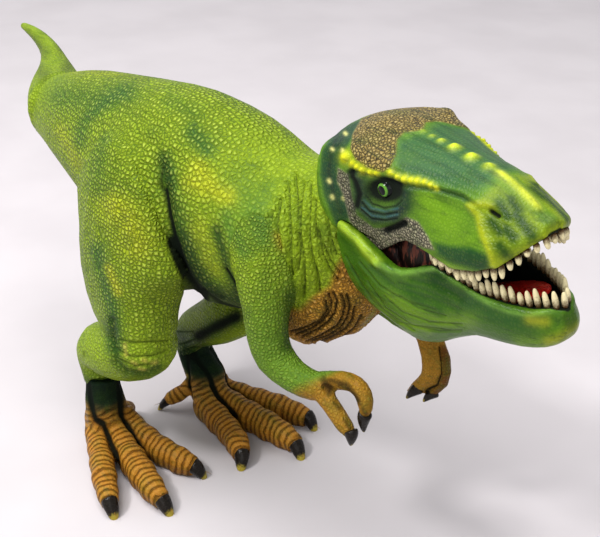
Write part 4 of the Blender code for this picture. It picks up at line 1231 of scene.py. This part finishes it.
def place_tooth(tooth, number, spot, outward, lip, rise, lean):
    """Roots a copy in the gum, leaning outwards; sizes vary a little along the row."""
    points = read_points(tooth)
    size = 1 + 0.12 * math.sin(5.1 * number) + 0.1 * math.cos(2.3 * number)
    if rise < 0 and spot[0] > SMALL_FROM:
        size *= SMALL_SHARE
    up = Vector((outward[0] * lean, outward[1] * lean, rise)).normalized()
    side = Vector((outward[1], -outward[0], 0))
    axes = np.array((side, up.cross(side), up))
    height = line_at(lip, spot[0])[1] - rise * TOOTH_SINK
    keep_values(tooth, "Root", 1 - points[:, 2] / TOOTH_HEIGHT)
    points[:, 2] *= size * TOOTH_STRETCH[rise]
    write_points(tooth, from_head(points @ axes + np.array((*spot, height))))


def add_tooth_row(name, body, lip, inset, start, count, rise, lean):
    """A row of teeth along a lip; rise is +1 for the lower jaw and -1 for the upper."""
    row = []
    for number, (spot, outward) in enumerate(even_spots(lip, inset, start, count)):
        tooth = tooth_pattern.copy()
        tooth.data = tooth_pattern.data.copy()
        bpy.context.scene.collection.objects.link(tooth)
        place_tooth(tooth, number, spot, outward, lip, rise, lean)
        row.append(tooth)
    choose(row[0])
    for tooth in row:
        tooth.select_set(True)
    bpy.ops.object.join()
    teeth = bpy.context.active_object
    teeth.name = name
    bpy.ops.object.mode_set(mode="EDIT")
    bpy.ops.mesh.select_all(action="SELECT")
    bpy.ops.mesh.normals_make_consistent(inside=False)
    bpy.ops.object.mode_set(mode="OBJECT")
    teeth.data.shade_smooth()
    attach(teeth, body)
    print(name, count, "teeth")
    return teeth


# %% The two rows of teeth
UPPER_COUNT = 31
LOWER_COUNT = 35
UPPER_INSET = 1.3 * MM
LOWER_INSET = 1.5 * MM
tooth_pattern = add_tooth_pattern()
upper_teeth = add_tooth_row("upper_teeth", "figure", LIP_LINE, UPPER_INSET, UPPER_TEETH_FROM,
                            UPPER_COUNT, -1, 0.15)
lower_teeth = add_tooth_row("lower_teeth", "jaw", RIM_LINE, LOWER_INSET, LOWER_TEETH_FROM,
                            LOWER_COUNT, 1, 0.1)
bpy.data.objects.remove(tooth_pattern)

# %% [markdown]
# ## Claws
#
# Every toe and finger ends in a black claw with a worn yellowish point. One claw is modelled along +Z
# and bent a little as it is drawn out, and its copies are turned to the toes and fingers. The front toes,
# the back toes and the fingers get the same claw in three widths.

# %% Model one claw; each step has a rise, a share of the width and a bend
CLAW_SIDES = 10
CLAW_RADIUS = 0.3
CLAW_STUB = 0.2
CLAW_STEPS = ((0.22, 0.92, 0.03), (0.24, 0.8, 0.07), (0.24, 0.62, 0.12), (0.16, 0.35, 0.1))


def add_claw_pattern():
    """A claw of unit length with its root at the origin; it bends towards -X."""
    choose()
    bpy.ops.mesh.primitive_cylinder_add(vertices=CLAW_SIDES, radius=CLAW_RADIUS, depth=CLAW_STUB,
                                        location=(0, 0, 0))
    claw = bpy.context.active_object
    bpy.ops.object.mode_set(mode="EDIT")
    bpy.ops.mesh.select_mode(type="FACE")
    for rise, share, bend in CLAW_STEPS:
        draw_out(claw, (-bend, 0, rise), share)
    bpy.ops.object.mode_set(mode="OBJECT")
    apply_modifier(claw, "SUBSURF", levels=2, render_levels=2)
    return claw


# %% Turn copies to the toes and fingers
def add_claw(name, root, tip, width, wear=1.0):
    """A claw from its root to its tip, bent towards the ground and worn yellow at the point."""
    claw = claw_pattern.copy()
    claw.data = claw_pattern.data.copy()
    claw.name = name
    bpy.context.scene.collection.objects.link(claw)
    root, tip = Vector(root), Vector(tip)
    along = (tip - root).normalized()
    side = along.cross(Vector((0, 0, 1))).normalized()
    above = side.cross(along)
    points = read_points(claw)
    length = (tip - root).length
    place = points * np.array((width, width, length)) @ np.array((above, side, along)) + np.array(root)
    place[:, 2] = np.maximum(place[:, 2], 0)
    write_points(claw, place)
    keep_values(claw, "Point", wear * points[:, 2])
    claw.data.shade_smooth()
    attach(claw, "figure")
    return claw


# %% Claws of the toes and fingers; a finger's claw has its root and tip in mm
TOE_WIDTHS = (9 * MM, 9 * MM, 9 * MM, 6 * MM)
TIP_DROP = np.array((0, 0, 0.6 * MM))
FINGER_WIDTH = 6.4 * MM
FINGER_WEAR = 0.72
FINGER_CLAWS = {
    "right": (((98.3, -2.6, 62.5), (96.0, -2.6, 57.6)), ((96.6, -5.6, 57.8), (98.7, -5.7, 54.4))),
    "left": (((84.6, 29.3, 50.2), (81.9, 25.5, 48.6)), ((87.6, 32.6, 49.3), (85.2, 28.9, 47.9))),
}
claw_pattern = add_claw_pattern()
claws = []
for side in ("right", "left"):
    for number, line in enumerate(toe_points(side)):
        heading = (line[-1] - line[-2]) / np.linalg.norm(line[-1] - line[-2])
        claws.append(add_claw(f"{side}_toe_claw_{number + 1}", line[-1] - heading * CLAW_LENGTH,
                              line[-1] - TIP_DROP, TOE_WIDTHS[number]))
for side, pairs in FINGER_CLAWS.items():
    for number, (root, tip) in enumerate(pairs):
        claws.append(add_claw(f"{side}_finger_claw_{number + 1}", np.array(root) * MM, np.array(tip) * MM,
                              FINGER_WIDTH, FINGER_WEAR))
bpy.data.objects.remove(claw_pattern)
print(len(claws), "claws")

# %% [markdown]
# ## Eyes
#
# Each eye is a glossy black bead with a thin green ring, sunk under the brow. It starts as a sphere, its
# front faces are drawn out a little for the clear front of the eye, and a subdivision rounds the step.
# The near eye is put where the photograph's line of sight meets the head, and the far one mirrors it.

# %% Make the eyes
EYE_RADIUS = 2.9 * MM
EYE_SINK = 1.8 * MM
CLEAR_FRONT = 0.8 * EYE_RADIUS
CLEAR_INSET = 0.1 * EYE_RADIUS
CLEAR_RISE = 0.06 * EYE_RADIUS


def add_eye(name, centre, outward):
    choose()
    bpy.ops.mesh.primitive_uv_sphere_add(segments=24, ring_count=16, radius=EYE_RADIUS, location=(0, 0, 0))
    eye = bpy.context.active_object
    eye.name = name
    bpy.ops.object.mode_set(mode="EDIT")
    bpy.ops.mesh.select_mode(type="FACE")
    mesh = bmesh.from_edit_mesh(eye.data)
    for face in mesh.faces:
        face.select_set(face.calc_center_median().z > CLEAR_FRONT)
    bmesh.update_edit_mesh(eye.data)
    bpy.ops.mesh.inset(thickness=CLEAR_INSET, depth=CLEAR_RISE)
    bpy.ops.object.mode_set(mode="OBJECT")
    apply_modifier(eye, "SUBSURF", levels=1, render_levels=1)
    points = read_points(eye)
    from_axis = np.hypot(points[:, 0], points[:, 1]) / EYE_RADIUS
    from_axis[points[:, 2] < 0] = 2
    keep_values(eye, "Ring", from_axis)
    turn = np.array(Vector((0, 0, 1)).rotation_difference(Vector(outward)).to_matrix())
    write_points(eye, points @ turn.T + centre)
    eye.data.shade_smooth()
    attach(eye, "figure")
    return eye


spot, normal, face, distance = tree_of(head).ray_cast(CAMERA_PLACE, line_of_sight(*EYE_PIXEL))
eye_spot = to_head(np.array(spot)[None])[0]
eye_way = np.array(normal) @ HEAD_AXES
eyes = []
for name, flip in (("right_eye", 1), ("left_eye", -1)):
    mirror = np.array((1, flip, 1))
    centre = from_head((eye_spot - eye_way * EYE_SINK)[None] * mirror)[0]
    eyes.append(add_eye(name, centre, (eye_way * mirror) @ HEAD_AXES.T))
print("eyes at", np.round(eye_spot / MM, 1), "mm from the hinge")

# %% [markdown]
# ## Painted plastic
#
# Hard plastic figures are moulded in one colour, sprayed, and then wiped with thin dark paint that stays
# in the grooves. One builder makes the finish for every skin. It reads the sprayed colour from the mesh,
# takes packed cells in space as scales, darkens their borders with painted shade, raises their middles
# and lightens them with dry-brushed paint and painted highlight, with a brighter painted highlight on
# each peak. The dark wash it lays on also carries the painted shade of creases, gaps and hollows.
# Pebbled patches and banded toes are added where a skin has them.

# %% Sizes and paints of the hide
SCALE_SIZE = 1.3 * MM
GRAIN_SIZE = 0.35 * MM
CLOUD_SIZE = 6 * MM
STREAK_SIZE = 1.4 * MM
STREAK_SHARES = (0.2, 1, 1)
SCALE_EVENNESS = 0.66
BAND_PITCH = 2.1
CLOUD_GREEN = colour(58, 92, 22)
STREAK_GREEN = colour(28, 58, 12)
# The border green is painted shade between the scales, the dome colour is partly dry-brushed paint and partly
# painted highlight, the peak colour is a painted highlight, and the wash black also paints the shade of
# creases and hollows.
BORDER_SHADE_GREEN = colour(30, 50, 8)
DOME_DRYBRUSH_AND_HIGHLIGHT = colour(188, 200, 84)
PEAK_HIGHLIGHT = colour(208, 216, 120)
WASH_AND_SHADE_BLACK = colour(6, 12, 6)


# %% Pebbled patches and banded toes
def pebbled(shade, height, where, grain, size):
    """Raised pebbles with dark pits between them, where the mask of pits says."""
    share = attribute("Pits")
    hollow = cells(where, size)
    pit = ramp(hollow + grain * 0.14, 0.08, 0.25, 1.0, 0.0) * share
    shade = blend_colours(pit * 0.94, shade, colour(20, 17, 12))
    shade = blend_colours(ramp(hollow, 0.2, 0.5) * share * 0.4, shade, colour(176, 164, 128))
    return shade, height + ramp(hollow, 0.02, 0.35) * share


def banded(shade, height, cloud, grain):
    """Dark cross bands, with light ones between, by the length along a toe."""
    along = attribute("Along") + cloud * 3.0 + grain * 0.6
    wave = Wire.node("Math", {"operation": "SINE"}, {0: along * (2 * math.pi / BAND_PITCH)})
    dark = ramp(wave, 0.58, 1.0) * attribute("Bands")
    light = ramp(wave, 0.4, -0.8) * attribute("Bands")
    shade = blend_colours(dark * (0.25 + grain * 0.45), shade, colour(62, 36, 10))
    shade = blend_colours(light * grain * 0.5, shade, colour(206, 150, 66))
    return shade, height - dark * 1.6


# %% Builder of the scaled hide
def hide_material(name, size=SCALE_SIZE, roughness=0.42, depth=0.7 * MM, pits=0.0, bands=False, sheen=0.08):
    material = begin_material(name, sheen)
    where = place_on_object()
    scales = attribute("Scales")
    border = cells(where, size, SCALE_EVENNESS)
    grain = noise(where, GRAIN_SIZE)
    cloud = noise(where, CLOUD_SIZE)
    shade = blend_colours(ramp(cloud, 0.45, 0.75) * 0.35, attribute("Paint", "Color"), CLOUD_GREEN)
    streaks = noise(Wire.node("Mapping", {}, {"Vector": where, "Scale": STREAK_SHARES}), STREAK_SIZE)
    shade = blend_colours(ramp(streaks, 0.5, 0.7) * (1 - scales) * 0.55, shade, STREAK_GREEN)
    # Painted shade darkens the borders of the cells, and painted highlights lighten the domes and their
    # peaks.
    edge = ramp(border, 0.0, 0.12, 1.0, 0.0) * scales
    dome = ramp(border, 0.03, 0.36) * scales
    shade = blend_colours(edge * 0.8, shade, BORDER_SHADE_GREEN)
    shade = blend_colours(dome * grain * 0.4, shade, DOME_DRYBRUSH_AND_HIGHLIGHT)
    shade = blend_colours(ramp(border, 0.24, 0.5) * scales * scales * 0.16, shade, PEAK_HIGHLIGHT)
    height = dome + grain * 0.15
    if pits:
        shade, height = pebbled(shade, height, where, grain, pits)
    if bands:
        shade, height = banded(shade, height, cloud, grain)
    # The wash also carries the painted shade of creases, gaps and hollows.
    wash_and_shade = ramp(attribute("WashAndShade") + (grain - 0.5) * 0.35, 0.12, 0.85)
    shade = blend_colours(wash_and_shade * 0.985, shade, WASH_AND_SHADE_BLACK)
    gloss = grain * 0.16 + wash_and_shade * 0.5 + (roughness - 0.08)
    link_surface(Base_Color=shade, Roughness=gloss, Normal=relief(height, depth))
    return material


# %% Dress the skins
def dress(material, *things):
    for thing in things:
        thing.data.materials.clear()
        thing.data.materials.append(material)
    print(material.name, "on", len(things))


SMALL_SCALES = 0.9 * MM
dress(hide_material("scaled_lime_hide"), tail, throat_plug, *legs.values())
dress(hide_material("scaled_torso_hide", size=1.45 * MM, pits=1.1 * MM), torso)
dress(hide_material("scaled_arm_hide", size=1.0 * MM), *arms.values())
dress(hide_material("painted_head_hide", SMALL_SCALES, 0.38, 0.3 * MM, pits=0.85 * MM, sheen=SHEEN), head)
dress(hide_material("painted_jaw_hide", SMALL_SCALES, 0.3, 0.3 * MM, sheen=SHEEN), jaw)
dress(hide_material("banded_ochre_hide", SMALL_SCALES, depth=0.35 * MM, bands=True), *feet.values())

# %% [markdown]
# ## Finishes of the small pieces
#
# Teeth are cream with brown wash at the root, claws black with a worn point, the eyes black with a green
# ring. The mouth's lining, the tongue and the pin keep their solids' shapes and only get a finish.

# %% Start and end of a finish with a fine grain
def begin_grained(name, size):
    """A new material, and cloudy values that break its colour up."""
    return begin_material(name), noise(place_on_object(), size)


def link_grained(shade, grain, roughness, depth):
    link_surface(Base_Color=shade, Roughness=grain * 0.2 + roughness, Normal=relief(grain, depth))


# %% Teeth
material, grain = begin_grained("cream_teeth", 0.5 * MM)
root = ramp(attribute("Root") + (grain - 0.5) * 0.6, 0.3, 0.85)
shade = blend_colours(root, colour(216, 204, 160), colour(72, 50, 24))
shade = blend_colours(ramp(grain, 0.55, 0.8) * 0.3, shade, colour(150, 130, 84))
link_grained(shade, grain, 0.22, 0.1 * MM)
dress(material, upper_teeth, lower_teeth)

# %% Claws
material, grain = begin_grained("black_claws", 0.6 * MM)
worn = ramp(attribute("Point") + (grain - 0.5) * 0.25, 0.58, 0.76)
shade = blend_colours(grain, colour(8, 7, 6), colour(34, 28, 22))
shade = blend_colours(worn * 0.85, shade, colour(168, 150, 52))
link_grained(shade, grain, 0.16, 0.12 * MM)
dress(material, *claws)

# %% Eyes
material, grain = begin_grained("glossy_eyes", 0.3 * MM)
ring = attribute("Ring")
band = ramp(ring, 0.36, 0.42) * ramp(ring, 0.5, 0.58, 1.0, 0.0)
shade = blend_colours(band * (grain * 0.5 + 0.6), colour(8, 12, 12), colour(96, 150, 50))
link_surface(Base_Color=shade, Roughness=grain * 0.08 + 0.1)
dress(material, *eyes)

# %% Lining, tongue and pin
STRAND_SIZE = 1.1 * MM
STRAND_SHARES = (1, 1, 0.22)
material = begin_material("dark_mouth_lining")
stretched = Wire.node("Mapping", {}, {"Vector": place_on_object(), "Scale": STRAND_SHARES})
strands = noise(stretched, STRAND_SIZE)
shade = blend_colours(ramp(strands, 0.5, 0.62), colour(18, 7, 6), colour(92, 46, 34))
link_surface(Base_Color=shade, Roughness=strands * 0.3 + 0.3, Normal=relief(strands, 0.4 * MM))
dress(material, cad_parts["mouth_lining"], mouth_corner)

material, grain = begin_grained("red_tongue", 0.7 * MM)
shade = blend_colours(ramp(grain, 0.3, 0.75), colour(150, 14, 10), colour(206, 34, 22))
link_grained(shade, grain, 0.2, 0.25 * MM)
dress(material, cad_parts["tongue"])

material, grain = begin_grained("steel_pin", 0.2 * MM)
shade = blend_colours(grain, colour(150, 150, 152), colour(196, 196, 198))
link_surface(Base_Color=shade, Roughness=grain * 0.2 + 0.25)
surface_inputs()["Metallic"].default_value = 1.0
dress(material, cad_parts["jaw_pin"])

# %% [markdown]
# ## Floor and light
#
# The figure stands on a flat pale sheet, wide enough to fill the view. A large soft lamp above gives the
# gentle shadow, a weaker one in front of the right side fills the shade, and a small one puts sparks of
# light on scales and eyes. The world lights the rest.

# %% Sheet
FLOOR_SIZE = 4.0
SHEET_MOTTLE = 60 * MM
bpy.ops.mesh.primitive_plane_add(size=FLOOR_SIZE, location=(0, 0, 0))
floor = bpy.context.active_object
floor.name = "floor_sheet"
material, mottle = begin_grained("pale_sheet", SHEET_MOTTLE)
link_surface(Base_Color=blend_colours(ramp(mottle, 0.3, 0.7), colour(184, 178, 180), colour(190, 184, 186)))
surface_inputs()["Roughness"].default_value = 0.9
dress(material, floor)

# %% Lamps, each with its place, size and power, and the world
LAMPS = (("key", (-0.1, -0.2, 1.0), 0.9, 13.0), ("fill", (0.7, -0.5, 0.35), 0.6, 1.6),
         ("spark", (0.0, -0.55, 0.75), 0.12, 4.5))
LAMP_AIM = Vector((0, 0, 0.07))
WORLD_TINT = (0.95, 0.97, 1.0, 1)
WORLD_STRENGTH = 0.64
for name, place, size, power in LAMPS:
    lamp_data = bpy.data.lights.new(name, "AREA")
    lamp_data.size = size
    lamp_data.energy = power
    lamp = bpy.data.objects.new(name, lamp_data)
    bpy.context.scene.collection.objects.link(lamp)
    lamp.location = place
    lamp.rotation_euler = (LAMP_AIM - Vector(place)).to_track_quat("-Z", "Y").to_euler()
print(len(LAMPS), "lamps over a sheet", FLOOR_SIZE, "m wide")
world = bpy.data.worlds.new("studio")
bpy.context.scene.world = world
world.use_nodes = True
background = world.node_tree.nodes["Background"].inputs
background["Color"].default_value = WORLD_TINT
background["Strength"].default_value = WORLD_STRENGTH
bpy.context.scene.view_settings.view_transform = "Standard"
